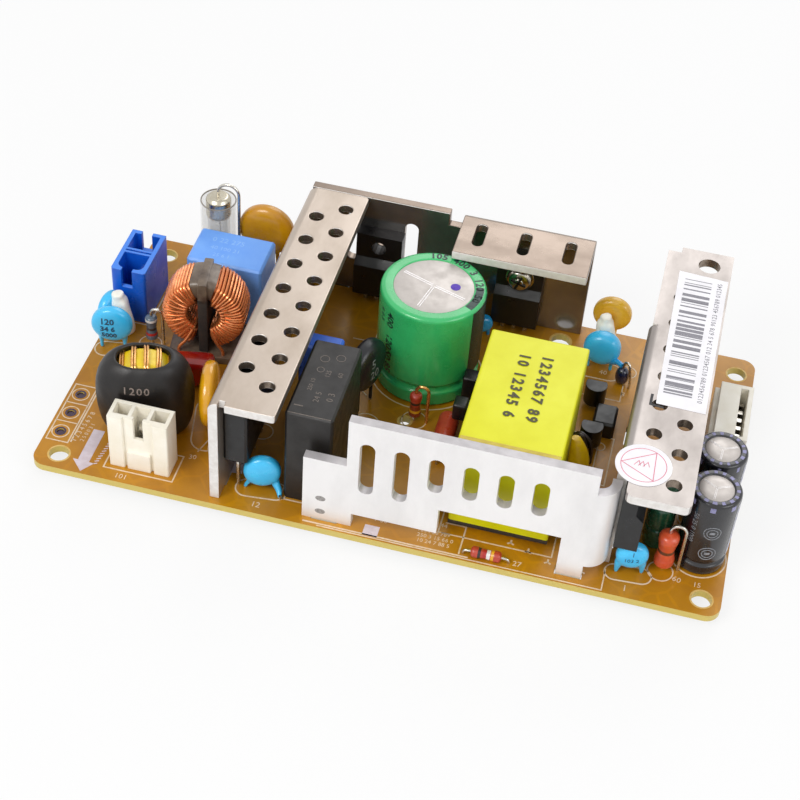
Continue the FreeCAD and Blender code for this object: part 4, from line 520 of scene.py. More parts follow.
# name: (colour, shade, patch size, roughness, what else differs from plainLook)
paintRows = {
    "boardPrint": ((228, 206, 178), (206, 170, 122), 1.2, 0.55, dict(patches=(0.5, 0.75))),
    "boardPrintWhite": ((226, 214, 222), (206, 190, 196), 2.0, 0.5, {}),
    "bareLaminate": ((222, 190, 118), (204, 164, 80), 1.0, 0.6, {}),
    # dark purple inside the spare holes: painted shade
    "holeShadeDisc": ((58, 26, 62), (34, 12, 44), 0.8, 0.3, dict(coat=(0.4, 0.12))),
    "whiteNylon": ((250, 245, 232), (243, 236, 218), 5, 0.42, dict(edge=0.25, grain=(0.25, 0.008))),
    # upper: the moulding's upward faces get a lighter blue, painted light from above
    "blueMoulding": ((14, 98, 212), (10, 80, 192), 6, 0.34,
        dict(edge=0.3, upper=(64, 134, 238), grain=(0.3, 0.006), coat=(0.15, 0.3))),
    "tinnedWire": ((214, 210, 202), (176, 172, 164), 0.8, 0.24, dict(metal=1.0, grain=(0.15, 0.01))),
    "solder": ((206, 206, 204), (168, 168, 170), 0.7, 0.26, dict(metal=1.0, grain=(0.2, 0.02))),
    "blackSleeve": ((17, 12, 11), (11, 8, 8), 5, 0.46, dict(roughSpread=0.14, grain=(1.6, 0.05))),
    "yellowRing": ((240, 212, 20), (226, 188, 12), 2, 0.4, dict(grain=(0.5, 0.02), coat=(0.3, 0.25))),
    "chokeWire": ((224, 170, 98), (200, 140, 70), 1.2, 0.24,
        dict(metal=0.85, grain=(0.3, 0.006), coat=(0.6, 0.1))),
    "copperWire": ((232, 142, 84), (206, 114, 58), 1.6, 0.26,
        dict(metal=0.7, grain=(0.3, 0.006), coat=(0.5, 0.08))),
    "copperBed": ((178, 92, 46), (136, 64, 30), 1.4, 0.3,
        dict(metal=0.6, stretch=(1, 0.2, 1), grain=(0.5, 0.03))),
    "ferrite": ((54, 48, 44), (38, 34, 32), 1.5, 0.6, dict(edge=0.2, grain=(0.2, 0.02))),
    "brownCarrier": ((116, 100, 84), (70, 54, 44), 2.5, 0.38, dict(edge=0.2, coat=(0.3, 0.2))),
    "blueBox": ((118, 176, 255), (104, 162, 250), 6, 0.4, dict(edge=0.35, grain=(0.5, 0.01))),
    "smallBlueBox": ((70, 116, 224), (60, 104, 206), 3, 0.36, dict(edge=0.3)),
    "redDip": ((166, 22, 8), (138, 14, 6), 3, 0.2,
        dict(roughSpread=0.05, grain=(1.2, 0.03), coat=(0.5, 0.08))),
    "resistorRed": ((186, 66, 44), (166, 48, 32), 2, 0.34, dict(grain=(0.3, 0.01), coat=(0.3, 0.2))),
    "resistorDark": ((146, 60, 30), (120, 46, 24), 2, 0.34, dict(coat=(0.3, 0.2))),
    "orangeCoat": ((216, 88, 50), (194, 70, 38), 2, 0.34, dict(grain=(0.4, 0.015), coat=(0.35, 0.16))),
    "greyBody": ((92, 108, 124), (72, 84, 98), 1.5, 0.3, dict(coat=(0.3, 0.12))),
    "bandWhite": ((226, 224, 222), None, 1, 0.35, dict(coat=(0.3, 0.12))),
    "bandYellow": ((226, 164, 30), None, 1, 0.35, dict(coat=(0.3, 0.12))),
    "bandBlack": ((44, 30, 30), None, 1, 0.35, dict(coat=(0.3, 0.12))),
    "bandRed": ((176, 34, 34), None, 1, 0.35, dict(coat=(0.3, 0.12))),
    "bandBrown": ((98, 52, 30), None, 1, 0.35, dict(coat=(0.3, 0.12))),
    "blackPackage": ((19, 19, 21), (14, 14, 16), 2.5, 0.36, dict(edge=0.2, grain=(0.12, 0.008))),
    "relayCase": ((27, 24, 23), (20, 18, 17), 3, 0.46, dict(edge=0.3, grain=(0.14, 0.014))),
    "blackDip": ((27, 28, 34), (20, 21, 26), 2, 0.34, dict(roughSpread=0.1, grain=(0.7, 0.03))),
    "paleMark": ((150, 152, 158), (110, 112, 118), 0.5, 0.5, {}),
    "greenSleeve": ((58, 190, 112), (46, 174, 98), 7, 0.26,
        dict(roughSpread=0.06, grain=(2.0, 0.02), coat=(0.5, 0.12))),
    "greenPrint": ((18, 50, 46), (14, 42, 38), 0.7, 0.35, {}),
    "canTop": ((198, 191, 186), (184, 177, 172), 3, 0.42, dict(metal=0.45, grain=(0.12, 0.006))),
    # near-white lips of the score lines: painted highlight
    "scoreLine": ((252, 250, 250), (226, 220, 220), 0.6, 0.3, dict(metal=0.2)),
    "violetDot": ((84, 48, 178), (70, 36, 158), 0.5, 0.5, {}),
    "capSleeve": ((28, 28, 33), (21, 21, 26), 4, 0.26,
        dict(roughSpread=0.06, grain=(1.5, 0.02), coat=(0.35, 0.1))),
    "lavenderPrint": ((150, 148, 188), (128, 126, 168), 0.6, 0.4, {}),
    "capStripe": ((176, 176, 184), (150, 150, 160), 0.8, 0.36, {}),
    "yellowTape": ((226, 226, 4), (218, 216, 2), 7, 0.42,
        dict(roughSpread=0.07, grain=(3.0, 0.03), coat=(0.1, 0.2))),
    "tapeMark": ((58, 54, 24), (74, 70, 30), 0.5, 0.5, {}),
    "ochreDip": ((212, 152, 4), (194, 130, 4), 4, 0.26,
        dict(roughSpread=0.05, grain=(1.0, 0.03), coat=(0.4, 0.08))),
    "amberDip": ((238, 176, 18), (222, 152, 12), 4, 0.2,
        dict(roughSpread=0.05, grain=(1.0, 0.03), coat=(0.7, 0.06))),
    "blueDip": ((66, 198, 250), (54, 186, 242), 3, 0.3,
        dict(roughSpread=0.06, grain=(0.9, 0.03), coat=(0.4, 0.12))),
    "blueDipDeep": ((34, 160, 224), (26, 142, 208), 3, 0.26, dict(grain=(0.9, 0.03), coat=(0.5, 0.1))),
    "discMark": ((22, 62, 92), (30, 80, 116), 0.4, 0.45, {}),
    # a paler copy of the ochre dip: painted light from above on the ochre disc
    "paleOchreDip": ((240, 190, 62), (226, 168, 36), 3, 0.26, dict(grain=(1.0, 0.03), coat=(0.4, 0.1))),
    # brighter than the wrap's tape: painted light on the bundle, which lies in shade
    "leadTape": ((255, 214, 14), (236, 186, 8), 1.5, 0.34, dict(grain=(0.8, 0.06), coat=(0.2, 0.12))),
    "sealant": ((255, 253, 244), (246, 244, 230), 2, 0.42,
        dict(roughSpread=0.1, grain=(1.2, 0.08), coat=(0.2, 0.12))),
    "fuseGlass": ((206, 204, 196), (190, 188, 180), 4, 0.06,
        dict(roughSpread=0.02, alpha=0.22, grain=(3, 0.01))),
    "clearSleeve": ((222, 220, 212), (206, 204, 196), 4, 0.12,
        dict(roughSpread=0.06, alpha=0.16, grain=(2, 0.03))),
    "sleeveRim": ((150, 142, 132), (120, 112, 104), 2, 0.3, dict(grain=(1, 0.012))),
    "shadedSheet": ((150, 146, 144), (118, 114, 112), 9, 0.16,
        dict(roughSpread=0.06, metal=0.85, grain=(0.35, 0.01), patches=(0.42, 0.75))),
    # cut edges facing the front: the sheared edge's paler tone with a painted highlight
    "cutEdgeAndHighlight": ((234, 231, 228), (216, 211, 206), 1.4, 0.42, dict(metal=0.2, grain=(0.3, 0.012))),
    # vent hole walls: darker and browner, painted shade inside the holes
    "shadedVentWall": ((152, 138, 124), (108, 94, 82), 1.2, 0.3, dict(metal=0.7, grain=(0.3, 0.01))),
    # upward faces of the front plate: a darker grey, painted shade
    "shadedPlateTop": ((196, 192, 194), (176, 172, 174), 3, 0.42, dict(metal=0.2, grain=(0.3, 0.01))),
    # darker yellow for the wrap's top front edge: painted shade
    "shadedTapeEdge": ((206, 184, 16), (186, 160, 10), 2, 0.34, dict(grain=(0.8, 0.05), coat=(0.2, 0.12))),
    "pressedMark": ((168, 164, 162), (116, 112, 108), 0.5, 0.5, {}),
    "sackMark": ((150, 136, 128), (112, 98, 92), 0.4, 0.5, {}),
    "caseMark": ((118, 108, 100), (84, 76, 70), 0.4, 0.5, {}),
    "boxMark": ((150, 198, 255), (138, 188, 255), 0.5, 0.45, {}),
    "fuseCapMetal": ((206, 200, 184), (176, 168, 150), 1.5, 0.22, dict(metal=1.0, grain=(0.3, 0.01))),
    "screwSteel": ((196, 190, 178), (150, 144, 132), 1.0, 0.2, dict(metal=1.0, grain=(0.3, 0.015))),
    "diodeBody": ((22, 30, 62), (14, 20, 46), 1.2, 0.2, dict(coat=(0.7, 0.05))),
    "greenChoke": ((40, 96, 66), (26, 72, 48), 1.8, 0.26, dict(grain=(0.8, 0.03), coat=(0.5, 0.12))),
    "labelPaper": ((246, 244, 248), (240, 238, 242), 5, 0.5, dict(grain=(0.3, 0.004))),
    "labelBar": ((120, 118, 126), (146, 144, 152), 0.5, 0.5, {}),
    "inkBlack": ((26, 24, 26), None, 0.5, 0.5, {}),
    "pinkInk": ((224, 120, 146), (212, 96, 126), 0.8, 0.5, {}),
    "darkWire": ((58, 44, 40), (40, 30, 28), 1, 0.4, dict(coat=(0.3, 0.12))),
}

boardLook = {"runs": 150, "runFrom": 0.03, "runTo": 0.05, "ghost": (150, 100, 24), "ghostShare": 0.22,
             "lacquer": (150, 112, 46), "track": (96, 104, 40), "sawn": (206, 184, 96)}


# Board: varnished ochre laminate, paler on its sawn edges, with conductor runs below.
def makeBoardMaterial(look):
    material = makeMaterial("ochreLaminate", (202, 140, 6), (172, 112, 3), 16, 0.4, roughSpread=0.1,
                            patches=(0.36, 0.68), grain=(0.6, 0.01), coat=(0.06, 0.2))
    tree = material.node_tree
    finish = tree.nodes["Principled BSDF"].inputs["Base Color"]
    coords = tree.nodes["Texture Coordinate"].outputs["Object"]
    cells = addNode(tree, "TexVoronoi", {"Vector": coords, "Scale": look["runs"]},
                    feature="DISTANCE_TO_EDGE", distance="EUCLIDEAN")
    runs = stretchRange(tree, cells.outputs["Distance"], look["runFrom"], look["runTo"])
    # runs show through as a faint darker tint, and as lacquer over copper from below
    faint = calculate(tree, "MULTIPLY", runs, look["ghostShare"])
    above = mixTones(tree, faint, finish.links[0].from_socket, tone(*look["ghost"]))
    below = mixTones(tree, runs, tone(*look["lacquer"]), tone(*look["track"]))
    level = upward(tree)
    faces = mixTones(tree, calculate(tree, "LESS_THAN", level, -0.5), above, below)
    upright = calculate(tree, "LESS_THAN", calculate(tree, "ABSOLUTE", level), 0.5)
    feed(tree, finish, mixTones(tree, upright, faces, tone(*look["sawn"])))
    return material


# Rolled sheet: faint streaks along the sheet and smudges across it.
sheetLook = {"patches": (0.42, 0.75), "roughSpread": 0.1, "metal": 0.9, "grain": (0.35, 0.01)}
# The four sheets are one aluminium; each tone carries painted light and shade for how that sheet faces
# the lamps, the front plate's near white most of all.
sheetRows = {
    "sheetLeft": ((192, 179, 167), (172, 158, 144), 9, 0.36, dict(stretch=(1, 0.5, 1), tilt=(0, 0, 35))),
    "sheetRear": ((146, 132, 121), (126, 112, 101), 12, 0.28, dict(stretch=(0.6, 1, 1), tilt=(0, 0, 10))),
    "litSheetFront": ((240, 238, 238), (226, 224, 224), 9, 0.42, dict(stretch=(1, 1, 0.4), metal=0.35)),
    "sheetRight": ((168, 161, 157), (150, 143, 139), 9, 0.36,
                   dict(stretch=(1, 0.5, 1), tilt=(0, 0, -20))),
}

paint = {"ochreLaminate": makeBoardMaterial(boardLook)}
for rows, common in ((paintRows, {}), (sheetRows, sheetLook)):
    for name, (colour, shade, patch, rough, changes) in rows.items():
        paint[name] = makeMaterial(name, colour, shade, patch, rough, **{**common, **changes})


# Board, print and solder.

boardPlan = {
    "cornerHoles": [(4.9, 3.9), (136.1, 3.9), (4.9, 69.4), (136.1, 69.4)],
    "holeRim": 0.36, "holeRadius": 2.01, "rimGap": 0.12, "rimWidth": 0.5,
    "spareHoles": [(2.8, 9.9), (2.8, 15.5), (2.8, 21.1)],
    "smallHole": (69.8, 33.8, 1.3), "largeHole": (97.0, 68.4, 2.2),
    "pen": 0.3, "finePen": 0.26, "figureLift": 0.015, "pillShift": 0.6,
    "starReach": 0.75, "starPen": 0.36,
    # printed frames round parts: node, gap, pen
    "frames": [("inlet_housing", 1.0, 0.3), ("relay", 0.6, 0.3), ("output_housing", 0.25, 0.2),
               ("blue_header_housing", 0.5, 0.3), ("transformer_tape", 1.4, 0.3),
               ("line_capacitor", 0.6, 0.3)],
    # printed rings: round nodes with a radius, then free ones
    "partRings": [("bulk_capacitor_sleeve", 12.2), ("output_capacitor_front_sleeve", 5.5),
                  ("output_capacitor_rear_sleeve", 5.5)],
    "rings": [(71.6, 34.6, 2.6), (62.0, 30.6, 2.9), (127.4, 8.6, 2.5), (113.0, 62.8, 1.8),
              (110.6, 38.6, 1.1), (42.3, 22.0, 2.2), (11.2, 40.4, 2.4)],
    "lastRing": (36.0, 15.0, 3.0),
    # round-ended outlines under the discs: node, length, width, turn
    "pills": [("disc_capacitor_front", 10.5, 4.6, 6), ("disc_capacitor_right", 9.2, 4.0, 4),
              ("disc_capacitor_rear", 10.5, 5.4, 0), ("varistor_front", 15.5, 6.6, 102),
              ("varistor_rear", 15.0, 6.4, 0), ("disc_capacitor_left", 7.8, 4.4, 10)],
    # long conductor shadows, printed frames along the front edge and round the spare holes
    "strokes": [
        ([(57.0, 1.0), (90.5, 1.0)], 0.34, False),
        ([(60.0, 0.5), (117.0, 0.5), (117.0, 6.0)], 0.26, False),
        ([(88.6, 1.4), (88.6, 8.6), (84.4, 8.6)], 0.3, False),
        ([(110.2, 41.6), (113.2, 41.6), (113.2, 27.8), (110.2, 27.8)], 0.3, True),
        ([(99.8, 53.2), (112.6, 53.2), (112.6, 58.4)], 0.26, False),
        ([(57.6, 70.0), (57.6, 41.0), (60.2, 38.8)], 0.3, False),
        ([(52.8, 55.4), (58.2, 55.4)], 0.3, False),
        ([(31.4, 12.6), (33.4, 19.6)], 0.28, False),
        ([(0.7, 7.2), (5.4, 7.2), (5.4, 23.8), (0.7, 23.8)], 0.28, True),
        ([(0.7, 12.8), (5.4, 12.8)], 0.26, False),
        ([(0.7, 18.3), (5.4, 18.3)], 0.26, False),
        ([(5.9, 7.6), (5.9, 22.8)], 0.34, False)],
    # plain numbers: figures, x, y, height, turn
    "figures": [
        ("1 2 3 4 5 6 7 8", 6.8, 7.9, 1.1, 84), ("2 5 0 0 3 1", 8.3, 8.4, 0.9, 84),
        ("120 0 44", 79.6, 7.2, 1.1, 0), ("1234 56 789", 79.4, 5.0, 0.95, 0),
        ("250 3 15 66 0", 79.6, 3.65, 0.95, 0), ("10 24 7 88 5", 79.8, 2.3, 0.95, 0),
        ("7 30", 70.6, 5.0, 1.1, 0), ("27", 99.2, 1.6, 1.3, 0), ("1", 120.8, 1.6, 1.5, 0),
        ("60", 129.8, 7.0, 1.3, -12), ("101", 17.6, 1.0, 1.3, 0), ("24", 102.6, 54.4, 1.2, 0),
        ("15", 134.0, 6.6, 1.2, 0), ("30", 30.2, 10.2, 1.2, 10), ("12", 46.0, 1.6, 1.4, 0),
        ("5", 66.0, 27.6, 3.4, 0), ("6", 72.0, 27.4, 3.4, -12), ("40", 106.8, 60.6, 1.3, 0),
        ("8", 112.4, 55.0, 1.4, 0), ("19", 62.0, 27.0, 1.2, 0), ("7", 24.6, 26.6, 1.2, 0),
        ("3", 109.0, 33.0, 1.3, 90)],
    "stars": [(97.9, 7.2), (101.6, 6.0), (105.8, 4.4), (112.6, 4.0)],
    # white blocks: path, width; an arrow stands on the first and nine short dashes beside it
    "whiteBlocks": [([(10.3, 12.4), (10.3, 3.4)], 2.4), ([(69.2, 2.2), (72.2, 2.2)], 2.8),
                    ([(39.9, 14.4), (40.6, 9.2)], 2.6)],
    "arrow": [(8.0, 3.5), (12.6, 3.3), (10.7, 0.6)],
    "dash": (12.4, 3.2, 0.8, 0.4), "dashStep": (0.1, 0.75), "dashes": 9, "dashPen": 0.24,
    # pad rings are radius, pen and finish; finish 1 and the sunken disc are painted shade inside the hole
    "padRings": ((1.75, 0.24, 0), (0.98, 0.4, 1)),
    "holeShadeDisc": [(0, -0.5), (0.78, -0.5), (0.78, -0.3), (0, -0.25)],
}


# Plain figures as thin flat solids in the plane z = 0.
def figureShape(figures, height, weight=0.0, thick=0.03, spread=1.0):
    curve = bpy.data.curves.new("figures", "FONT")
    curve.body, curve.size, curve.extrude = figures, height * 1.38, thick / 2
    curve.offset, curve.space_character, curve.resolution_u = weight, spread, 2
    holder = addObject("figures", curve)
    graph = bpy.context.evaluated_depsgraph_get()
    mesh = bpy.data.meshes.new_from_object(holder.evaluated_get(graph))
    points = [tuple(vertex.co) for vertex in mesh.vertices]
    faces = [tuple(face.vertices) for face in mesh.polygons]
    bpy.data.objects.remove(holder)
    return points, faces


def frameOutline(node, gap):
    low, high = boxOf(node)
    return [(low.x - gap, low.y - gap), (high.x + gap, low.y - gap), (high.x + gap, high.y + gap),
            (low.x - gap, high.y + gap)]


def pillOutline(x, y, length, width, angle):
    half, turn = (length - width) / 2, math.radians(angle)
    points = circlePath(half, 0, width / 2, 12, -90, 90) + circlePath(-half, 0, width / 2, 12, 90, 270)
    return [(x + px * math.cos(turn) - py * math.sin(turn), y + px * math.sin(turn) + py * math.cos(turn))
            for px, py in points]


def printShapes(plan):
    lines = [strokeShape(frameOutline(node, gap), pen, 0.0, True) for node, gap, pen in plan["frames"]]
    for node, radius in plan["partRings"]:
        spot = centreOf(node)
        lines.append(strokeShape(circlePath(spot.x, spot.y, radius), plan["pen"], 0.0, True))
    lines += [strokeShape(circlePath(*ring), plan["finePen"], 0.0, True) for ring in plan["rings"]]
    for node, length, width, angle in plan["pills"]:
        spot = centreOf(node)
        outline = pillOutline(spot.x, spot.y - plan["pillShift"], length, width, angle)
        lines.append(strokeShape(outline, plan["pen"], 0.0, True))
    lines.append(strokeShape(circlePath(*plan["lastRing"]), plan["finePen"], 0.0, True))
    lines += [strokeShape(points, pen, 0.0, closed) for points, pen, closed in plan["strokes"]]
    lines += [shifted(figureShape(figures, height), x, y, plan["figureLift"], turn)
              for figures, x, y, height, turn in plan["figures"]]
    for x, y in plan["stars"]:
        for angle in (90, 210, 330):
            end = around(x, y, plan["starReach"], angle)
            lines.append(strokeShape([(x, y), end], plan["starPen"], 0.0))
    return lines


def whiteShapes(plan):
    blocks = [strokeShape(path, width, 0.0) for path, width in plan["whiteBlocks"]]
    points = [(x, y, z) for z in (0.0, 0.03) for x, y in plan["arrow"]]
    arrow = (points, [(3, 4, 5), (0, 2, 1), (0, 1, 4, 3), (1, 2, 5, 4), (2, 0, 3, 5)])
    (x, y, along, rise), (stepX, stepY) = plan["dash"], plan["dashStep"]
    dashes = [strokeShape([(x + stepX * step, y + stepY * step),
                           (x + along + stepX * step, y + rise + stepY * step)], plan["dashPen"], 0.0)
              for step in range(plan["dashes"])]
    return [blocks[0], arrow] + dashes + blocks[1:]


def dressBoard(plan):
    dress("circuit_board", "ochreLaminate")
    makePiece("board_print", printShapes(plan), "boardPrint", slot="circuit_board")
    makePiece("board_white_marks", whiteShapes(plan), "boardPrintWhite", slot="circuit_board")
    rim = plan["holeRim"]
    rims = [strokeShape(circlePath(x, y, plan["holeRadius"] + rim / 2), rim, 0.0, True)
            for x, y in plan["cornerHoles"]]
    rims += [strokeShape(circlePath(x, y, hole + plan["rimGap"]), plan["rimWidth"], 0.0, True)
             for x, y, hole in (plan["smallHole"], plan["largeHole"])]
    makePiece("hole_rims", rims, "bareLaminate", slot="circuit_board")
    # spare holes: a pale pad ring, then a dark ring and a sunken disc that are painted shade inside the
    # hole
    pads = []
    for x, y in plan["spareHoles"]:
        pads += [(strokeShape(circlePath(x, y, radius), pen, 0.0, True), finish)
                 for radius, pen, finish in plan["padRings"]]
        pads.append((shifted(latheShape(plan["holeShadeDisc"], 24), x, y), 1))
    makePiece("spare_pads", pads, ["boardPrint", "holeShadeDisc"], slot="circuit_board")


solderPlan = {"tip": 0.02, "group": 1.2,
              "profile": [(1.08, 0.0), (0.95, -0.12), (0.66, -0.34), (0.46, -0.66), (0.38, -1.0),
                          (0.34, -1.22), (0.24, -1.34), (0, -1.38)]}


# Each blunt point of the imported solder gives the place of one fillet.
def dressSolder(plan):
    mesh = cadNodes["solder_joints"].data
    lowest = min(vertex.co.z for vertex in mesh.vertices)
    groups = []
    for vertex in mesh.vertices:
        if vertex.co.z > lowest + plan["tip"] * mm:
            continue
        corner = Vector((vertex.co.x, vertex.co.y)) / mm
        near = [group for group in groups if (group[0] - corner).length < plan["group"]]
        if near:
            near[0].append(corner)
        else:
            groups.append([corner])
    shapes = []
    for group in groups:
        xs, ys = [corner.x for corner in group], [corner.y for corner in group]
        x, y = (min(xs) + max(xs)) / 2, (min(ys) + max(ys)) / 2
        shapes.append(shifted(latheShape(plan["profile"], 16), x + originX, y + originY, originZ))
    makePiece("solder_fillets", shapes, "solder", replaces=("solder_joints",))


# Heatsinks, label and sticker.

labelPlan = {
    "sheet": [(119.7, 27.0), (129.35, 26.8), (129.4, 67.5), (119.1, 68.1)], "lift": 0.06,
    "bars": (120.6, 126.2, 30.6, 66.0), "barWidths": (0.22, 0.22, 0.4, 0.62, 0.9),
    "barGaps": (0.28, 0.4, 0.62, 0.95), "row": "0123456789 01234567 012 34 5 678 90123 456789 012345",
    "rowAt": (128.3, 29.4), "ink": [(118.7, 29.4), (118.7, 26.5), (121.3, 26.2)], "inkWidth": 0.55,
    "sticker": (119.75, 9.9, 5.35), "gap": 0.02, "ring": (0.8, 0.14), "triangle": (0.78, 0.16),
    "pen": 0.13, "penShifts": (-1.2, -0.4, 0.5),
}


sheetPlan = {"thick": 2.0, "bend": 2.0, "height": 26.4, "tabDepth": 3.8, "tab": 5.0, "soften": 0.22,
             "vent": 1.55, "ventPitch": 8.15, "rowGap": 5.4, "inset": 1.6, "ventWall": 8, "thinFace": 120,
             "paints": {"left_heatsink": "sheetLeft", "rear_heatsink": "sheetRear",
                        "front_heatsink": "litSheetFront", "right_heatsink": "sheetRight"}}
leftSinkPlan = {"x": 37.6, "y": 1.6, "length": 70.0, "width": 13.4, "corner": 0.8, "relief": 1.3,
                "vent": (4.2, 11.5), "tabs": (4.0, 61.0)}
rearSinkPlan = {"x": 38.2, "y": 73.7, "length": 62.6, "plain": 30.8, "gap": 3.0, "drop": 3.2,
                "depth": 14.2, "slots": (38.3, 9.7, -10.8, -3.4, 1.15),
                "wallSlots": (9.6, 13.0, 8.5, 21.4, 1.5),
                "tabs": (4.0, 39.6), "holes": (16.2, 47.8), "holeZ": 15.3, "hole": 1.53}
frontSinkPlan = {"x": 56.5, "y": 2.2, "length": 60.3, "lowLength": 8.6, "lowHeight": 16.8, "top": 28.9,
                 "rise": 3.6, "foot": 10.0, "cut": (27.1, 51.1, 10.3), "leg": 56.2, "bend": 4.2,
                 "wing": 5.2,
                 "wingTop": 23.9, "slot": (12.5, 6.7, 23.8), "slotRadius": 1.5,
                 "reach": (13.6, 13.6, 8.9, 8.9, 8.9, 8.9),
                 "tabs": (2.0, 51.1)}
rightSinkPlan = {"x": 115.4, "y": 1.5, "length": 74.6, "width": 14.4, "wall": (6.4, 48.4), "inset": 0.6,
                 "frontStep": 2.2, "backStep": 3.4, "backDepth": 1.8, "corner": 1.4, "vent": (5.1, 8.975),
                 "firstVent": (10.5, 4.9), "lastVent": 65.4, "largeVent": (9.6, 70.0, 2.3), "fold": 6.0,
                 "seam": 4.0, "tabs": (10.4, 39.4)}


# Section of a sheet that is folded once: up the wall, round the bend and along the flange.
def foldOutline(width, plan):
    thick, top, bend = plan["thick"], plan["height"], plan["bend"]
    return roundedCorners([(0, 0), (thick, 0), (thick, top - thick), (width, top - thick), (width, top),
                           (0, top)], {5: bend}, 8)


def ventSpots(first, limit, plan):
    spots = []
    while first[1] + plan["ventPitch"] / 2 * len(spots) < limit:
        step = len(spots)
        spots.append((first[0] + plan["rowGap"] * (step % 2), first[1] + plan["ventPitch"] / 2 * step))
    return spots


def ventTools(spots, plan):
    low, high = plan["height"] - plan["thick"] * 2, plan["height"] + plan["thick"]
    return [plateShape(circlePath(x, y, plan["vent"], 28), low, high) for x, y in spots]


def tabShapes(spots, plan, alongX, shift=0.0):
    shapes = []
    for spot in spots:
        low = (spot, shift, -plan["tabDepth"]) if alongX else (shift, spot, -plan["tabDepth"])
        size = (plan["tab"], plan["thick"]) if alongX else (plan["thick"], plan["tab"])
        shapes.append(boxShape(low, (low[0] + size[0], low[1] + size[1], 0.5)))
    return shapes


def finishSheet(node, base, steps, sink, plan):
    x, y = sink["x"], sink["y"]
    moved = [(kind, [shifted(shape, x, y) for shape in shapes]) for kind, shapes in steps]
    piece = makePiece(node + "_sheet", [shifted(base, x, y)],
                      [plan["paints"][node], "cutEdgeAndHighlight", "shadedSheet", "shadedPlateTop",
                       "shadedVentWall"], replaces=(node,))
    carve(piece, moved)
    softenEdges(piece, plan["soften"])
    flange = place(0, 0, plan["height"] - plan["thick"] - 0.1).z
    low, high = boxOf(node)
    inset, front, rear = plan["inset"], node == "front_heatsink", node == "rear_heatsink"
    for polygon in piece.data.polygons:
        spot = (polygon.center - place(0, 0, 0)) / mm
        area, raised = polygon.area / mm / mm, polygon.center.z > flange
        inside = low.x + inset < spot.x < high.x - inset and low.y + inset < spot.y < high.y - inset
        pierced = inside and abs(polygon.normal.z) < 0.3 and area < plan["ventWall"]
        forward = polygon.normal.y < -0.7
        # vent walls above the flange: painted shade inside the holes
        if pierced and raised and not front:
            polygon.material_index = 4
        # small forward faces: the paler sheared edge with a painted highlight
        elif forward and area < plan["thinFace"] and not front and (raised or not rear):
            polygon.material_index = 1
        elif rear and forward and polygon.center.z < flange:
            polygon.material_index = 2
        # upward faces of the front plate: painted shade
        elif front and polygon.normal.z > 0.5:
            polygon.material_index = 3
        else:
            polygon.material_index = 0


def makeLeftSink(sink, plan):
    length, width, thick, relief = sink["length"], sink["width"], plan["thick"], sink["relief"]
    base = plateShape(foldOutline(width, plan), 0, length, "y")
    plan2d = roundedCorners([(-1, 0), (thick, 0), (thick, relief), (thick + relief, relief),
                             (thick + relief, 0), (width, 0), (width, length), (-1, length)],
                            {5: sink["corner"], 6: sink["corner"]})
    spots = ventSpots(sink["vent"], length - plan["ventPitch"] / 2, plan)
    spots.append((sink["vent"][0] + plan["rowGap"], sink["vent"][1] - plan["ventPitch"] / 2))
    finishSheet("left_heatsink", base, [
        ("INTERSECT", [plateShape(plan2d, -5, plan["height"] + 5)]),
        ("UNION", tabShapes(sink["tabs"], plan, False)),
        ("DIFFERENCE", ventTools(spots, plan))], sink, plan)


def makeRearSink(sink, plan):
    length, plain, gap = sink["length"], sink["plain"], sink["gap"]
    thick, top = plan["thick"], plan["height"]
    fold = [(-a, b) for a, b in foldOutline(sink["depth"], plan)]
    base = plateShape(fold, plain + gap, length, "x")
    low, end = top - sink["drop"], plain + gap + 1
    wall = [(0, 0), (end, 0), (end, low), (plain, low), (plain, top), (0, top)]
    slotX, pitch, low, high, radius = sink["slots"]
    slots = [plateShape(slotOutline(slotX + pitch * index, low, high, radius), top - thick * 2,
                        top + thick) for index in range(3)]
    slotX, pitch, low, high, radius = sink["wallSlots"]
    slots += [plateShape(slotOutline(slotX + pitch * index, low, high, radius), -thick * 2, thick, "y")
              for index in range(2)]
    slots += [plateShape(circlePath(x, sink["holeZ"], sink["hole"], 20), -thick * 2, thick, "y")
              for x in sink["holes"]]
    finishSheet("rear_heatsink", base, [
        ("UNION", [plateShape(wall, -thick, 0, "y")]),
        ("UNION", tabShapes(sink["tabs"], plan, True, -thick)),
        ("DIFFERENCE", slots)], sink, plan)


def makeFrontSink(sink, plan):
    length, bend, wing, rise, top = sink["length"], sink["bend"], sink["wing"], sink["rise"], sink["top"]
    thick, leg, (cutStart, cutEnd, cutTop) = plan["thick"], sink["leg"], sink["cut"]
    fold = roundedCorners([(0, 0), (length, 0), (length, wing), (length - thick, wing),
                           (length - thick, thick), (0, thick)], {1: bend, 4: bend - thick}, 10)
    face = [(-1, -1), (sink["foot"], -1), (sink["foot"], rise), (cutStart, rise), (cutStart, cutTop),
            (cutEnd, cutTop), (cutEnd, -1), (leg, -1), (leg, rise), (length + 1, rise),
            (length + 1, sink["wingTop"]), (leg, sink["wingTop"]), (leg, top), (sink["lowLength"], top),
            (sink["lowLength"], sink["lowHeight"]), (-1, sink["lowHeight"])]
    slotX, pitch, slotTop = sink["slot"]
    slots = [plateShape(slotOutline(slotX + pitch * index, slotTop - reach, slotTop, sink["slotRadius"]),
                        -thick, thick * 2, "y")
             for index, reach in enumerate(sink["reach"])]
    finishSheet("front_heatsink", plateShape(fold, 0, top), [
        ("INTERSECT", [plateShape(face, -3, wing + 3, "y")]),
        ("UNION", tabShapes(sink["tabs"], plan, True)),
        ("DIFFERENCE", slots)], sink, plan)


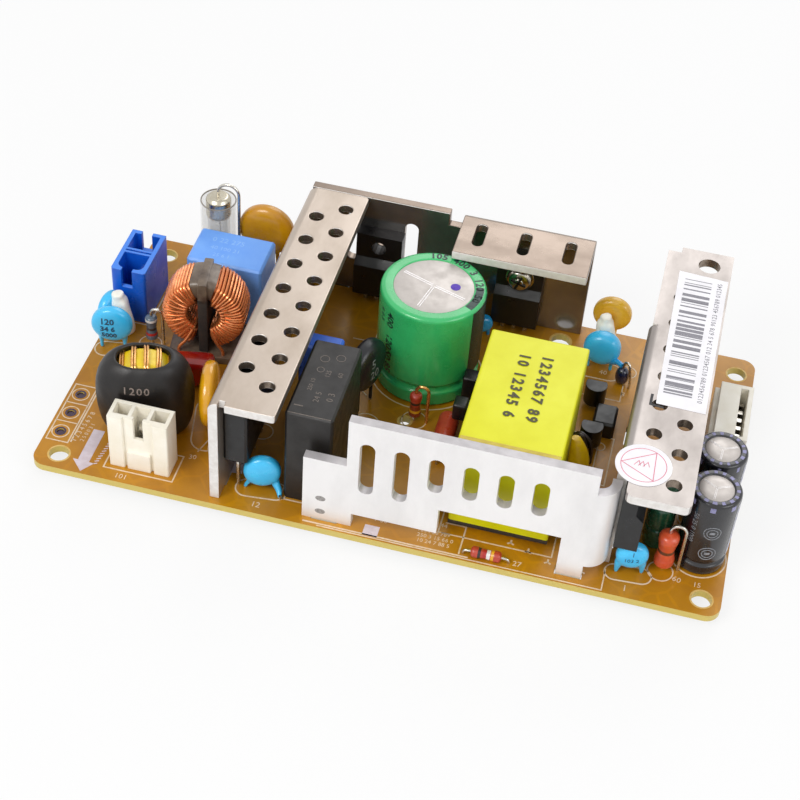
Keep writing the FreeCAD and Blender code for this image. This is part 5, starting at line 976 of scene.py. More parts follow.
def makeRightSink(sink, plan):
    length, width, top, thick = sink["length"], sink["width"], plan["height"], plan["thick"]
    start, end = sink["wall"]
    base = plateShape(foldOutline(sink["fold"], plan), start, end, "y")
    front, back, inset, seam = sink["frontStep"], sink["backStep"], sink["inset"], sink["seam"]
    backStart = length - sink["backDepth"]
    outline = [(front, 0), (width, 0), (width, length), (back, length), (back, backStart),
               (inset, backStart), (inset, end), (seam, end), (seam, start), (front, start)]
    plate = plateShape(roundedCorners(outline, {0: sink["corner"], 1: sink["corner"]}), top - thick, top)
    spots = ventSpots(sink["vent"], sink["lastVent"], plan) + [sink["firstVent"]]
    x, y, radius = sink["largeVent"]
    large = plateShape(circlePath(x, y, radius, 36), top - thick * 2, top + thick)
    tools = ventTools(spots, plan) + [large]
    finishSheet("right_heatsink", base, [
        ("UNION", [plate]),
        ("UNION", tabShapes(sink["tabs"], plan, False)),
        ("DIFFERENCE", tools)], sink, plan)


def dressHeatsinks(plan):
    makeLeftSink(leftSinkPlan, sheetPlan)
    makeRearSink(rearSinkPlan, sheetPlan)
    makeFrontSink(frontSinkPlan, sheetPlan)
    makeRightSink(rightSinkPlan, sheetPlan)
    dressLabel(plan, boxOf("right_heatsink")[1].z)


def dressLabel(plan, top):
    lift, ink = plan["lift"], 0.01
    shapes = [(plateShape(plan["sheet"], top, top + lift), 0)]
    barLow, barHigh, y, endY = plan["bars"]
    while y < endY:
        width = random.choice(plan["barWidths"])
        shapes.append((strokeShape([(barLow, y), (barHigh, y)], width, top + lift, False, ink), 1))
        y += width + random.choice(plan["barGaps"])
    row = figureShape(plan["row"], 1.0, 0.01, spread=1.1)
    shapes.append((shifted(row, *plan["rowAt"], top + lift, 90), 1))
    makePiece("white_label", shapes, ["labelPaper", "labelBar"], slot="right_heatsink")
    corner = [strokeShape(plan["ink"], plan["inkWidth"], top, False, 2 * ink)]
    makePiece("ink_corner", corner, "inkBlack", slot="right_heatsink")

    (x, y, radius), gap = plan["sticker"], plan["gap"]
    face = top + gap + lift
    disc = latheShape([(0, 0), (radius, 0), (radius, lift), (0, lift)], 64)
    shapes = [(shifted(disc, x, y, top + gap), 0)]
    (ring, ringPen), (triangle, trianglePen) = plan["ring"], plan["triangle"]
    shapes.append((strokeShape(circlePath(x, y, radius * ring, 56), ringPen, face, True, ink), 1))
    corners = circlePath(x, y, radius * triangle, 3, -58, 302)
    shapes.append((strokeShape(corners, trianglePen, face, True, ink), 1))
    for shift in plan["penShifts"]:  # loose pen strokes in the middle
        shapes.append((strokeShape([(x + shift - 0.6, y - 0.4), (x + shift + 0.2, y + 0.9),
                                    (x + shift + 0.6, y - 0.3)], plan["pen"], face, False, ink), 1))
    makePiece("round_sticker", shapes, ["labelPaper", "pinkInk"], slot="right_heatsink")


# Dipped parts on two legs.

# size: diameter, thickness, height of the centre, leg pitch; marks: figures, x, z, height
dippedPlans = {
    "disc_capacitor_left": {
        "paint": "blueDip", "turn": 10, "flow": 0.9, "size": (8.7, 3.4, 7.0, 5.0), "ink": "discMark",
        "marks": [("120", -2.3, 1.0, 1.5), ("34 6", -2.3, -0.9, 1.3), ("5000", -2.1, -2.6, 1.2)],
        "bold": 0.06},
    "disc_capacitor_far_left": {
        "paint": "blueDip", "turn": 76, "flow": 0.9, "size": (7.2, 3.2, 6.6, 5.0)},
    "disc_capacitor_front": {"paint": "blueDip", "turn": 14, "flow": 0.8, "size": (7.4, 3.2, 5.0, 5.0),
                             "feet": ((-3.4, 0.1, 0.9), (3.7, -2.9, 1.6))},
    "disc_capacitor_right": {
        "paint": "blueDip", "turn": 12, "flow": 1.15, "size": (6.2, 3.0, 5.2, 5.0), "ink": "discMark",
        "marks": [("1", -0.4, 0.9, 1.1), ("103 2", -1.7, -0.7, 0.95)]},
    "disc_capacitor_rear": {"paint": "blueDip", "turn": 0, "flow": 0.75, "size": (8.0, 4.4, 6.2, 5.0)},
    "disc_capacitor_small": {
        "paint": "blueDipDeep", "turn": 20, "flow": 0.6, "size": (4.0, 2.8, 3.6, 2.5)},
    "varistor_rear": {"paint": "ochreDip", "turn": 0, "flow": 0.9, "size": (12.6, 4.4, 13.2, 5.0)},
    "varistor_front": {"paint": "amberDip", "turn": 102, "flow": 1.0, "size": (13.6, 4.0, 8.4, 5.0)},
    "ochre_disc_capacitor": {
        "paint": "paleOchreDip", "turn": 0, "flow": 0.8, "size": (8.4, 3.4, 8.6, 2.5)},
    "thermistor": {
        "paint": "blackDip", "turn": 72, "flow": 0.7, "size": (11.6, 4.8, 12.0, 5.0), "ink": "paleMark",
        "marks": [("5", -1.6, 0.9, 2.2), ("20", -1.9, -2.0, 2.2)]},
}

lensPower = 2.9  # 2 is an ellipse, more is a fuller disc


# The coating is a lens that runs down its legs and thins out above the board.
def makeDipped(node, plan):
    diameter, thickness, rise, pitch = plan["size"]
    spot = centreOf(node)
    radius, half = diameter / 2, thickness / 2
    profile = []
    for step in range(25):
        angle = math.pi * (step / 24 - 0.5)
        bulge, depth = (math.copysign(abs(part) ** (2 / lensPower), part)
                        for part in (math.cos(angle), math.sin(angle)))
        profile.append((bulge * (radius + 0.08), depth * half))
    profile[0], profile[-1] = (0, -half), (0, half)
    shapes = [shifted(latheShape(profile, 56), 0, 0, rise, 0, 90)]
    feet = plan.get("feet", ((-pitch / 2, 0, 1), (pitch / 2, 0, 1)))
    for way, (footX, footY, share) in zip((-1, 1), feet):
        start = min(pitch / 2, radius * 0.72) * way
        path = smoothPath([(start * 0.8, 0, rise - radius * 0.35), (start, 0, rise - radius * 0.78),
                           ((start + footX * 2) / 3, footY * 0.45, max(rise - radius - 0.6, 1.1)),
                           (footX, footY, 0.25)], 5)
        count = len(path)
        radii = [max(0.42, plan["flow"] * share * (1 - 0.7 * index / (count - 1)))
                 for index in range(count)]
        shapes.append(wireShape(path, radii, 12))
    shapes = [shifted(shape, spot.x, spot.y, 0, plan["turn"]) for shape in shapes]
    piece = makePiece(node + "_coat", shapes, plan["paint"], replaces=(node,))
    meltPiece(piece, 0.17 if radius < 5 else 0.22, 4)
    legs = [shifted(wireShape([(x, y, 0), (x, y, 0.9)], 0.3, 10), spot.x, spot.y, 0, plan["turn"])
            for x, y, share in feet]
    makePiece(node + "_legs", legs, "tinnedWire", slot="component_leads")
    if "marks" not in plan:
        return
    marks = []
    for figures, x, z, tall in plan["marks"]:
        points, faces = figureShape(figures, tall, plan.get("bold", 0.0))
        front = [(px + x, -curveDepth(px + x, py + z, radius, half) - height - 0.03, rise + pz)
                 for (px, py, height) in points for pz in (py + z,)]
        marks.append(shifted((front, faces), spot.x, spot.y, 0, plan["turn"]))
    makePiece(node + "_marks", marks, plan["ink"], slot=node)


# How deep the lens is at a place on its face.
def curveDepth(x, z, radius, half):
    share = min(math.hypot(x, z) / radius, 0.98)
    return half * (1 - share ** lensPower) ** (1 / lensPower)


# Turned parts: capacitors.

bulkPlan = {"window": 8.4, "rim": 0.8, "groove": 3.4, "grooveDepth": 0.9, "grooveWidth": 2.4,
            "seatTop": 0.12, "score": ((159, 257, 341), 7.4, 0.5),
            "dot": ([(0, 0), (1.05, 0), (1.05, 0.03), (0, 0.04)], 4.4, 0.9),
            "ringFigures": "105 400 3 120 50", "ringStart": 104, "ringStep": 7.8, "ringInset": 2.35,
            "sideFigures": (("400", 1.9, 0.05, -133, 22.0), ("120", 1.9, 0.05, -133, 16.0),
                            ("50 85", 1.9, 0.05, -133, 11.6), ("6 0 3", 1.2, 0.03, -146, 21.4)),
            "stripe": (-30, 12), "stripeLow": 6.2}


outputPlan = {"window": 3.4, "rim": 0.6, "groove": 2.4, "grooveDepth": 0.5, "grooveWidth": 1.6,
              "seatTop": 0.15, "score": ((-95, 25, 150), 3.0, 0.25), "blocks": 15,
              "blockWidths": (7, 9, 12), "stripe": (-24, 2, 4.4, 18.6),
              "bars": (5.6, 8.2, 10.8, 13.4, 16.0), "barAngles": (-17, -6),
              "emblems": (6.6, 12.4), "emblemAngle": -78, "emblemSizes": (1.65, 1.05)}


def capacitorShapes(spot, radius, height, plan):
    groove, depth, width = plan["groove"], plan["grooveDepth"], plan["grooveWidth"]
    window, rim, level = plan["window"], plan["rim"], height - plan["seatTop"]
    neck = radius - depth * 0.55
    skin = [(0, 0), (radius - 0.5, 0), (radius, 0.4), (radius, groove), (neck, groove + width * 0.2),
            (radius - depth, groove + width * 0.5), (neck, groove + width * 0.8),
            (radius, groove + width), (radius, height - rim),
            (radius - rim * 0.3, height - rim * 0.3), (radius - rim, height),
            (window + 0.25, height - 0.02), (window, level), (window, level - 0.3), (0, level - 0.3)]
    sleeve = shifted(latheShape(roundedProfile(skin, 0.45), 96), spot.x, spot.y)
    top = [(0, level + 0.06), (window * 0.5, level + 0.04), (window * 0.96, level),
           (window + 0.02, level - 0.12), (window + 0.02, level - 0.25)]
    return sleeve, shifted(latheShape(top, 64), spot.x, spot.y), level + 0.06


# A flat sector of the rim, from the first angle to the last.
def fanShape(spot, outer, inner, angles, low, high):
    outline = [around(spot.x, spot.y, outer, angle) for angle in angles]
    outline += [around(spot.x, spot.y, inner, angle) for angle in reversed(angles)]
    return plateShape(outline, low, high)


# Score lines are shallow pressed grooves with raised lips, coloured near white: painted highlight.
def scoreShapes(spot, z, angles, length, width):
    shapes = []
    for angle in angles:
        way = Vector(around(0, 0, 1, angle))
        across = Vector((-way.y, way.x))
        for side in (-0.5, 0.5):
            path = [Vector((spot.x, spot.y)) + way * length * share + across * side * width
                    for share in (0.04, 0.5, 1.0)]
            shapes.append(wireShape([(point.x, point.y, z - 0.03) for point in path], width * 0.24, 6))
    return shapes


def dressBulk(plan):
    low, high = boxOf("bulk_capacitor_sleeve")
    spot, radius = (low + high) / 2, (high.x - low.x) / 2
    sleeve, disc, face = capacitorShapes(spot, radius, high.z, plan)
    makePiece("bulk_sleeve", [sleeve], "greenSleeve", replaces=("bulk_capacitor_sleeve",))
    makePiece("bulk_top", [disc], "canTop", replaces=("bulk_capacitor_can",))
    makePiece("bulk_score", scoreShapes(spot, face, *plan["score"]), "scoreLine",
              slot="bulk_capacitor_can")
    profile, x, y = plan["dot"]
    dot = shifted(latheShape(profile, 32), spot.x + x, spot.y + y, face)
    makePiece("bulk_dot", [dot], "violetDot", slot="bulk_capacitor_can")
    marks = []
    for index, figure in enumerate(plan["ringFigures"]):  # plain figures round the rim
        angle = plan["ringStart"] - index * plan["ringStep"]
        if figure != " ":
            shape = shifted(figureShape(figure, 1.7, 0.08), -0.6, 0, 0)
            x, y = around(spot.x, spot.y, radius - plan["ringInset"], angle)
            marks.append(shifted(shape, x, y, high.z + 0.005, angle - 90))
    marks += [wrapShape(figureShape(figures, tall, weight), spot, radius, angle, z)
              for figures, tall, weight, angle, z in plan["sideFigures"]]
    # the negative side has a broad dark stripe that turns over the rim
    start, end = plan["stripe"]
    marks.append(curvedPatch(spot, radius + 0.01, start, end, plan["stripeLow"], high.z - 0.7, 0.02, 16))
    marks.append(fanShape(spot, radius - 0.7, plan["window"] + 0.35, range(start, end + 1, 3),
                          high.z - 0.02, high.z + 0.02))
    makePiece("bulk_marks", marks, "greenPrint", slot="bulk_capacitor_sleeve")


def dressOutput(name, plan):
    node, can = f"output_capacitor_{name}_sleeve", f"output_capacitor_{name}_can"
    low, high = boxOf(node)
    spot, radius = (low + high) / 2, (high.x - low.x) / 2
    sleeve, disc, face = capacitorShapes(spot, radius, high.z, plan)
    makePiece(f"output_sleeve_{name}", [sleeve], "capSleeve", replaces=(node,))
    makePiece(f"output_top_{name}", [disc], "canTop", replaces=(can,))
    makePiece(f"output_score_{name}", scoreShapes(spot, face, *plan["score"]), "scoreLine", slot=can)
    marks = []
    for step in range(plan["blocks"]):  # plain blocks round the rim, some turning over the edge
        start = step * 360 / plan["blocks"] + random.uniform(-2, 2)
        wide = random.choice(plan["blockWidths"])
        angles = (start, start + wide / 2, start + wide)
        marks.append((fanShape(spot, radius - 0.55, plan["window"] + 0.35, angles, high.z - 0.02,
                               high.z + 0.012), 0))
        if step % 2:
            marks.append((curvedPatch(spot, radius + 0.01, start, start + wide, high.z - 1.9,
                                      high.z - 0.7, 0.02, 3), 0))
    marks.append((curvedPatch(spot, radius + 0.02, *plan["stripe"]), 1))
    marks += [(curvedPatch(spot, radius + 0.03, *plan["barAngles"], z, z + 1.2), 0) for z in plan["bars"]]
    turn = plan["emblemAngle"]
    for z in plan["emblems"]:  # plain rings with a bar inside
        marks += [(curvedRing(spot, radius + 0.02, turn, z, size), 2) for size in plan["emblemSizes"]]
        marks.append((curvedPatch(spot, radius + 0.02, turn - 6, turn + 6, z - 0.3, z + 0.3, 0.02, 4), 2))
    marks.append((wrapShape(figureShape("50 25 0 1000", 1.1), spot, radius, -128, 16.6), 2))
    makePiece(f"output_marks_{name}", marks, ["lavenderPrint", "capStripe", "paleMark"],
              slot=node)


# A patch of print on an upright cylinder, from one angle to another.
def curvedPatch(spot, radius, start, end, low, high, thick=0.03, steps=8):
    points, faces = [], []
    for layer in (radius - thick, radius + thick):
        for step in range(steps + 1):
            x, y = around(spot.x, spot.y, layer, start + (end - start) * step / steps)
            points += [(x, y, low), (x, y, high)]
    row = 2 * (steps + 1)
    for step in range(steps):
        a, b = step * 2, row + step * 2
        faces += [(b, b + 1, b + 3, b + 2), (a, a + 2, a + 3, a + 1), (a + 1, a + 3, b + 3, b + 1),
                  (a, b, b + 2, a + 2)]
    return points, faces + [(0, 1, row + 1, row), (row - 2, 2 * row - 2, 2 * row - 1, row - 1)]


# Flat print wrapped on an upright cylinder; its lines run down the side or round it.
def wrapShape(shape, spot, radius, angle, z, down=True):
    points, faces = shape
    wrapped = []
    for x, y, depth in points:
        along, across = (-x, y) if down else (y, x)
        here = math.radians(angle) + across / radius
        reach = radius + 0.02 + depth
        wrapped.append((spot.x + reach * math.cos(here), spot.y + reach * math.sin(here), z + along))
    return wrapped, faces


# Flat print laid on the front of a made piece, by rays along the local y.
def pressOn(piece, shape, spot, turn, offset):
    mesh = piece.data
    tree = BVHTree.FromPolygons([vertex.co for vertex in mesh.vertices],
                                [tuple(polygon.vertices) for polygon in mesh.polygons])
    across = Vector((math.cos(math.radians(turn)), math.sin(math.radians(turn)), 0))
    ahead = Vector((-across.y, across.x, 0))
    corner = place(0, 0, 0)
    points, faces = shape
    laid = []
    for x, y, depth in points:
        start = place(spot.x, spot.y, y + offset[1]) + (across * (x + offset[0]) - ahead * 30) * mm
        hit = tree.ray_cast(start, ahead)[0] or start + ahead * 24 * mm
        point = (hit - ahead * (0.06 + depth) * mm - corner) / mm
        laid.append(tuple(point))
    return laid, faces


def curvedRing(spot, radius, angle, z, size):
    path = []
    for step in range(28):
        turn = 2 * math.pi * step / 28
        here = math.radians(angle) + size * math.cos(turn) / radius
        path.append((spot.x + radius * math.cos(here), spot.y + radius * math.sin(here),
                     z + size * math.sin(turn)))
    return wireShape(path, 0.09, 6, True)


# Wound rings.

filterPlan = {"turn": 8, "inner": 4.7, "outer": 7.6, "half": 3.1, "wire": 0.37, "turns": 25, "span": 140,
              "corner": 1.1, "bed": 0.75}
chokePlan = {
    "turn": 15, "inner": 3.9, "outer": 7.9, "half": 3.2, "wire": 0.24, "turns": 20, "start": 96,
    "corner": 1.0, "strand": 0.28, "wrinkle": 0.04, "deepWrinkle": 0.1,
    # sack: (half length, half depth, height), out, over the rim and back down inside
    "sack": [(7.2, 4.6, 0.1), (8.6, 5.3, 1.2), (9.4, 5.8, 3.6), (9.9, 6.1, 7.0), (10.05, 6.15, 10.6),
             (9.85, 6.1, 13.6), (9.1, 5.8, 16.2), (8.0, 5.2, 18.0), (6.8, 4.4, 19.1), (6.0, 3.9, 19.5),
             (5.6, 3.6, 19.45), (5.3, 3.4, 19.1), (5.4, 3.4, 18.0), (6.4, 3.8, 15.5), (7.4, 4.2, 12.0)],
    "figures": "1200", "figureAt": (-4.0, 14.3),
}


def standing(spot, turn):
    return Matrix.Translation((spot.x, spot.y, spot.z)) @ Matrix.Rotation(math.radians(turn), 4, "Z")


# One turn of wire round the ring's section, drawn at ring angle `angle`.
def turnPath(angle, slant, inner, outer, half, corner):
    section = [(inner, -half + corner), (inner + corner, -half), (outer - corner, -half),
               (outer, -half + corner), (outer, half - corner), (outer - corner, half),
               (inner + corner, half), (inner, half - corner)]
    path = []
    for index, (radius, depth) in enumerate(section):
        share = index / len(section)
        here = math.radians(angle + slant * share)
        path.append((radius * math.cos(here), depth, radius * math.sin(here)))
    return path


def ringWinding(plan, start, end, turns, layers=True):
    step = (end - start) / turns
    wire = plan["wire"]
    path = []
    for turn in range(turns):
        deep = (turn % 2) * wire * 1.7 if layers else 0
        inner = plan["inner"] - wire - deep
        outer = plan["outer"] + wire * (2.5 if layers else 1.1) + (turn % 3) * wire * 0.08
        half = plan["half"] + wire * (2.7 if layers else 1.0) + (turn % 2) * wire * (0.3 if layers else 0)
        path += turnPath(start + step * turn, step, inner, outer, half, plan["corner"])
    return path


# Part of a ring with a rounded section, from one angle to another.
def ringSector(start, end, inner, outer, half, corner, steps=20):
    section = roundedProfile([(inner, 0), (inner, -half), (outer, -half), (outer, half), (inner, half),
                              (inner, 0)], corner)[:-1]
    rings = []
    for step in range(steps + 1):
        angle = math.radians(start + (end - start) * step / steps)
        rings.append([(radius * math.cos(angle), depth, radius * math.sin(angle))
                      for radius, depth in section])
    return loftShape(rings)


def ringShape(plan, matrix):
    inner, outer, half = plan["inner"], plan["outer"], plan["half"]
    section = roundedProfile([(inner, -half * 0.9), (inner + 0.4, -half), (outer - 0.8, -half),
                              (outer, -half + 0.8), (outer, half - 0.8), (outer - 0.8, half),
                              (inner + 0.4, half), (inner, half * 0.9), (inner, -half * 0.9)], 0.7)
    return transformed(shifted(latheShape(section, 72), 0, 0, 0, 0, 90), matrix)


def dressFilter(plan):
    spot = centreOf("filter_core")
    matrix = standing(spot, plan["turn"])
    gap = (180 - plan["span"]) / 2
    for name, start in (("left", 90 + gap), ("right", 270 + gap)):
        path = ringWinding(plan, start, start + plan["span"], plan["turns"])
        shape = transformed(wireShape(smoothPath(path, 3), plan["wire"], 8), matrix)
        bed = ringSector(start - 1, start + plan["span"] + 2, plan["inner"] - 0.5,
                         plan["outer"] + plan["bed"], plan["half"] + plan["bed"], plan["corner"], 30)
        makePiece(f"filter_wire_{name}", [(shape, 0), (transformed(bed, matrix), 1)],
                  ["copperWire", "copperBed"], replaces=(f"filter_winding_{name}",))
    makePiece("filter_ring", [ringShape(plan, matrix)], "ferrite", replaces=("filter_core",))
    low, high = -spot.z, plan["outer"] + 1.5
    # divider, foot, saddle over the ring, cap
    parts = [(boxShape((-1.0, -4.6, low + 1.8), (1.0, 4.6, 5.0), 0.2, 2), 1),
             (boxShape((-7.5, -6.0, low), (7.5, 6.0, low + 1.8), 0.25, 2), 0),
             (ringSector(71.5, 108.5, plan["inner"] - 0.3, high - 0.08, plan["half"] + 0.9, 1.4, 12), 0),
             (boxShape((-1.0, -4.6, 4.0), (1.0, 4.6, high), 0.3, 2), 0)]
    makePiece("filter_frame", [(transformed(shape, matrix), finish) for shape, finish in parts],
              ["brownCarrier", "ferrite"], replaces=("filter_carrier",))
    leads = []
    for x, y, lean in ((-4.4, -4.9, -0.8), (3.6, -4.9, 0.6), (-3.4, 4.6, -0.4), (3.8, 4.6, 0.4)):
        path = smoothPath([(x * 0.5, y * 0.86, -3.8), (x * 0.8, y, -6.2), (x + lean, y, -8.6),
                           (x + lean, y, -11.3)], 4)
        leads.append(transformed(wireShape(path, 0.36, 10), matrix))
    makePiece("filter_wire_ends", leads, "copperWire", slot="filter_winding_left")


def ovalRing(halfLength, halfDepth, z, power=2.3, segments=72):
    points = []
    for step in range(segments):
        angle = 2 * math.pi * step / segments
        c, s = math.cos(angle), math.sin(angle)
        points.append((math.copysign(abs(c) ** (2 / power), c) * halfLength,
                       math.copysign(abs(s) ** (2 / power), s) * halfDepth, z))
    return points


def dressChoke(plan):
    spot = centreOf("choke_core")
    matrix = standing(spot, plan["turn"])
    path = ringWinding(plan, plan["start"], plan["start"] + 360, plan["turns"], False)
    wires = []
    for shift in (-plan["strand"], plan["strand"]):  # two strands run side by side
        pair = [Vector(point) + Vector((shift, 0, 0)) * (1 if point[2] > 0 else 0.4) for point in path]
        wires.append(transformed(wireShape(smoothPath(pair, 3), plan["wire"], 8), matrix))
    makePiece("choke_wires", wires, "chokeWire", replaces=("choke_winding",))
    makePiece("choke_ring", [ringShape(plan, matrix)], "yellowRing", replaces=("choke_core",))
    rings = [ovalRing(*level) for level in plan["sack"]]
    for level, points in enumerate(rings):  # shrink wrinkles, strongest at the shoulders
        depth = plan["deepWrinkle"] if 3 < level < 10 else plan["wrinkle"]
        rings[level] = [(x * (1 + depth / 10 * math.sin(x * 1.1 + z)),
                         y * (1 + depth / 6 * math.sin(x * 1.7 - z)), z) for x, y, z in points]
    shape = shifted(loftShape(rings, True, False), spot.x, spot.y, 0, plan["turn"])
    sleeve = makePiece("choke_sack", [shape], "blackSleeve", replaces=("choke_sleeve",), smooth=80)
    roundOff(sleeve)
    figures = pressOn(sleeve, figureShape(plan["figures"], 1.75, 0.02, spread=1.2), spot, plan["turn"],
                      plan["figureAt"])
    makePiece("choke_marks", [figures], "sackMark", slot="choke_sleeve")


# Boxes, transformer, relay.

transformerPlan = {
    "edge": 0.55, "bow": 0.12, "shadedFoldDepth": 1.5, "shadowBandHeight": 1.1,
    "figures": (("1234567 89", 11.4, 27.8), ("10 12345 6", 6.9, 27.2)),
    "bundleY": 24.4, "bundleLow": 1.6, "bundleRise": 13.0, "bundleWidth": 3.4,
    # low corner, high corner, rounding and steps of the lumps on the bobbin
    "lumps": [((79.9, 41.2, 1.0), (83.0, 44.6, 8.6), 0.5, 3),
              ((79.7, 32.6, 4.6), (82.6, 36.0, 8.8), 0.5, 3),
              ((82.2, 32.8, 4.4), (85.2, 35.6, 8.4), 0.3, 2),
              ((82.4, 41.4, 1.0), (85.2, 44.2, 6.4), 0.3, 2)],
    "wires": ((33.0, 3.6), (34.6, 4.4), (28.6, 3.9)), "pinRows": (12.2, 15.4, 29.6, 33.4), "pinGap": 1.3,
}


def dressTransformer(plan):
    low, high = boxOf("transformer_tape")
    points, faces = boxShape(low, high, plan["edge"], 4)
    centre, bowed = (low + high) / 2, []
    for point in points:  # the wrap bows out a little between its corners
        share = Vector(point) - centre
        side = abs(share.x) / (high.x - low.x) * 2
        bowed.append(Vector(point) - Vector((0, 0, plan["bow"] * side ** 3 * (share.z > 0))))
    shapes = [(bowed, faces)]
    # the tape is folded down in front, in a darker yellow that is painted shade; a dark band along the
    # foot of the front is painted shadow in the gap below it
    shapes.append((boxShape((low.x + 0.3, low.y - 0.02, high.z - 0.4),
                            (high.x - 0.3, low.y + plan["shadedFoldDepth"], high.z + 0.03), 0.03, 1), 1))
    shapes.append((boxShape((low.x - 0.01, low.y - 0.03, low.z - 0.02),
                            (high.x + 0.01, low.y + 0.4, low.z + plan["shadowBandHeight"]), 0.05, 1), 2))
    makePiece("transformer_wrap", shapes,
              ["yellowTape", "shadedTapeEdge", "ferrite"],
              replaces=("transformer_tape", "transformer_core"))
    marks = [shifted(figureShape(figures, 2.25, 0.1, spread=1.3), low.x + x, low.y + y, high.z + 0.01,
                     -90) for figures, x, y in plan["figures"]]
    makePiece("transformer_marks", marks, "tapeMark", slot="transformer_tape")
    dress("transformer_bobbin", "blackPackage")
    # a taped lead bundle leaves the right side; its tape's brighter yellow is painted light
    rings = []
    for step in range(13):
        share = step / 12
        width = plan["bundleWidth"] * math.sin(math.pi * (0.06 + 0.88 * share)) ** 0.8
        z = plan["bundleLow"] + plan["bundleRise"] * share
        rings.append([(high.x + 0.2 + (1.0 + width) * (0.5 + 0.5 * math.cos(angle)),
                       plan["bundleY"] + (0.6 + width * 0.3) * math.sin(angle) + share * 0.6, z)
                      for angle in (2 * math.pi * turn / 24 for turn in range(24))])
    makePiece("lead_bundle_tape", [loftShape(rings)], "leadTape", slot="transformer_tape", smooth=80)
    lumps = [boxShape(*lump) for lump in plan["lumps"]]
    makePiece("bobbin_lumps", lumps, "blackPackage", slot="transformer_bobbin")
    wires = []
    for index, (y, reach) in enumerate(plan["wires"]):
        path = smoothPath([(high.x + 0.2, y, 7.0 - index), (high.x + 1.8, y - 0.4, 8.0 - index),
                           (high.x + reach - 0.4, y - 1.0, 5.0), (high.x + reach, y - 1.2, 0.0)], 6)
        wires.append(wireShape(path, 0.42, 10))
    makePiece("bundle_wires", wires, "darkWire", slot="transformer_bobbin")
    pins = [boxShape((x - 0.3, y - 0.3, 4.2), (x + 0.3, y + 0.3, 5.6), 0.08, 1)
            for x in (low.x - plan["pinGap"], high.x + plan["pinGap"]) for y in plan["pinRows"]]
    makePiece("bobbin_pins", pins, "tinnedWire", slot="component_leads")


boxPlan = {
    "rings": ((3.4, 16.4, 0.9), (6.4, 17.4, 0.9), (3.4, 13.2, 0.7)), "ringPen": 0.12, "rimPen": 0.16,
    # figures on top: characters, x and y from the low corner, height
    "relayFigures": (("1", 2.9, 1.8, 1.9), ("250 10", 3.2, 7.0, 0.9), ("24 5", 5.4, 4.2, 1.2),
                     ("0 3", 8.0, 5.0, 1.4), ("125", 5.6, 11.4, 1.0), ("60", 8.0, 12.0, 1.0)),
    "lineFigures": (("0 22 275", 3.4, 7.2, 1.5), ("40 100 21", 3.8, 4.6, 1.2), ("25 6 1", 5.0, 2.4, 1.1)),
    "film": (5.3, 2.4), "filmTurn": 12, "filmEdge": 1.9, "filmLegs": (-3.8, 3.8),
}


def topFigures(node, rows, turn):
    low, high = boxOf(node)
    return [shifted(figureShape(figures, tall), low.x + x, low.y + y, high.z + 0.01, turn)
            for figures, x, y, tall in rows]


def dressBoxes(plan):
    for node, finish in (("line_capacitor", "blueBox"), ("small_box_capacitor", "smallBlueBox"),
                         ("relay", "relayCase"), ("optocoupler", "blackPackage")):
        dress(node, finish)
    low, high = boxOf("relay")
    marks = topFigures("relay", plan["relayFigures"], 90)
    marks += [strokeShape(circlePath(low.x + x, low.y + y, size, 24), plan["ringPen"], high.z, True)
              for x, y, size in plan["rings"]]
    makePiece("relay_marks", marks, "caseMark", slot="relay")
    rim = strokeShape([(low.x + 0.5, low.y + 0.25), (high.x - 0.5, low.y + 0.25)], plan["rimPen"],
                      high.z - 0.02, False, 0.04)
    makePiece("relay_rim", [rim], "caseMark", slot="relay")
    makePiece("line_capacitor_marks", topFigures("line_capacitor", plan["lineFigures"], 0),
              "boxMark", slot="line_capacitor")
    low, high = boxOf("red_film_capacitor")
    centre, (x, y), turn = (low + high) / 2, plan["film"], plan["filmTurn"]
    body = boxShape((-x, -y, 0.4), (x, y, high.z - 0.1), plan["filmEdge"], 5)
    roundOff(makePiece("red_film_coat", [shifted(body, centre.x, centre.y, 0, turn)], "redDip",
                       replaces=("red_film_capacitor",), smooth=80))
    legs = [shifted(wireShape([(x, 0, 0), (x, 0, 1.2)], 0.32, 10), centre.x, centre.y, 0, turn)
            for x in plan["filmLegs"]]
    makePiece("red_film_legs", legs, "tinnedWire", slot="component_leads")


# Power devices and screw.

def dressDevices():
    for node in ("power_switch_left", "power_switch_right", "output_rectifier", "bridge_rectifier"):
        dress(node, "blackPackage")
    low, high = boxOf("heatsink_screw")
    centre, radius, face = (low + high) / 2, (high.x - low.x) / 2, low.y
    dome = [(0, -0.35), (0.9, -0.3), (1.05, -0.05), (1.6, -0.02), (radius * 0.8, 0.22),
            (radius * 0.97, 0.75), (radius, 1.3), (radius * 0.96, 2.1), (0, 2.1)]
    head = shifted(latheShape(roundedProfile(dome, 0.25), 48), 0, 0, 0, 0, -90)
    shapes = [shifted(head, centre.x, face + 0.36, centre.z)]
    for turn in (20, 110):  # raised quarters leave a cross in the head
        bar = boxShape((-1.75, -0.16, -0.28), (1.75, 0.2, 0.28), 0.06, 1)
        matrix = Matrix.Translation((centre.x, face + 0.16, centre.z)) \
            @ Matrix.Rotation(math.radians(turn), 4, "Y")
        shapes.append((transformed(bar, matrix), 1))
    rim = [(1.6, 0), (radius + 0.35, 0), (radius + 0.35, 0.45), (1.6, 0.45)]
    washer = shifted(latheShape(roundedProfile(rim, 0.12), 48), 0, 0, 0, 0, 90)
    shapes.append(shifted(washer, centre.x, face + 2.45, centre.z))
    makePiece("pan_head_screw", shapes, ["screwSteel", "blackPackage"], replaces=("heatsink_screw",))


# Fuse, resistors and leads.

fusePlan = {"glass": 2.5, "cap": 2.8, "capLength": 5.2, "rise": 2.6, "length": 19.0, "sleeve": 4.0}


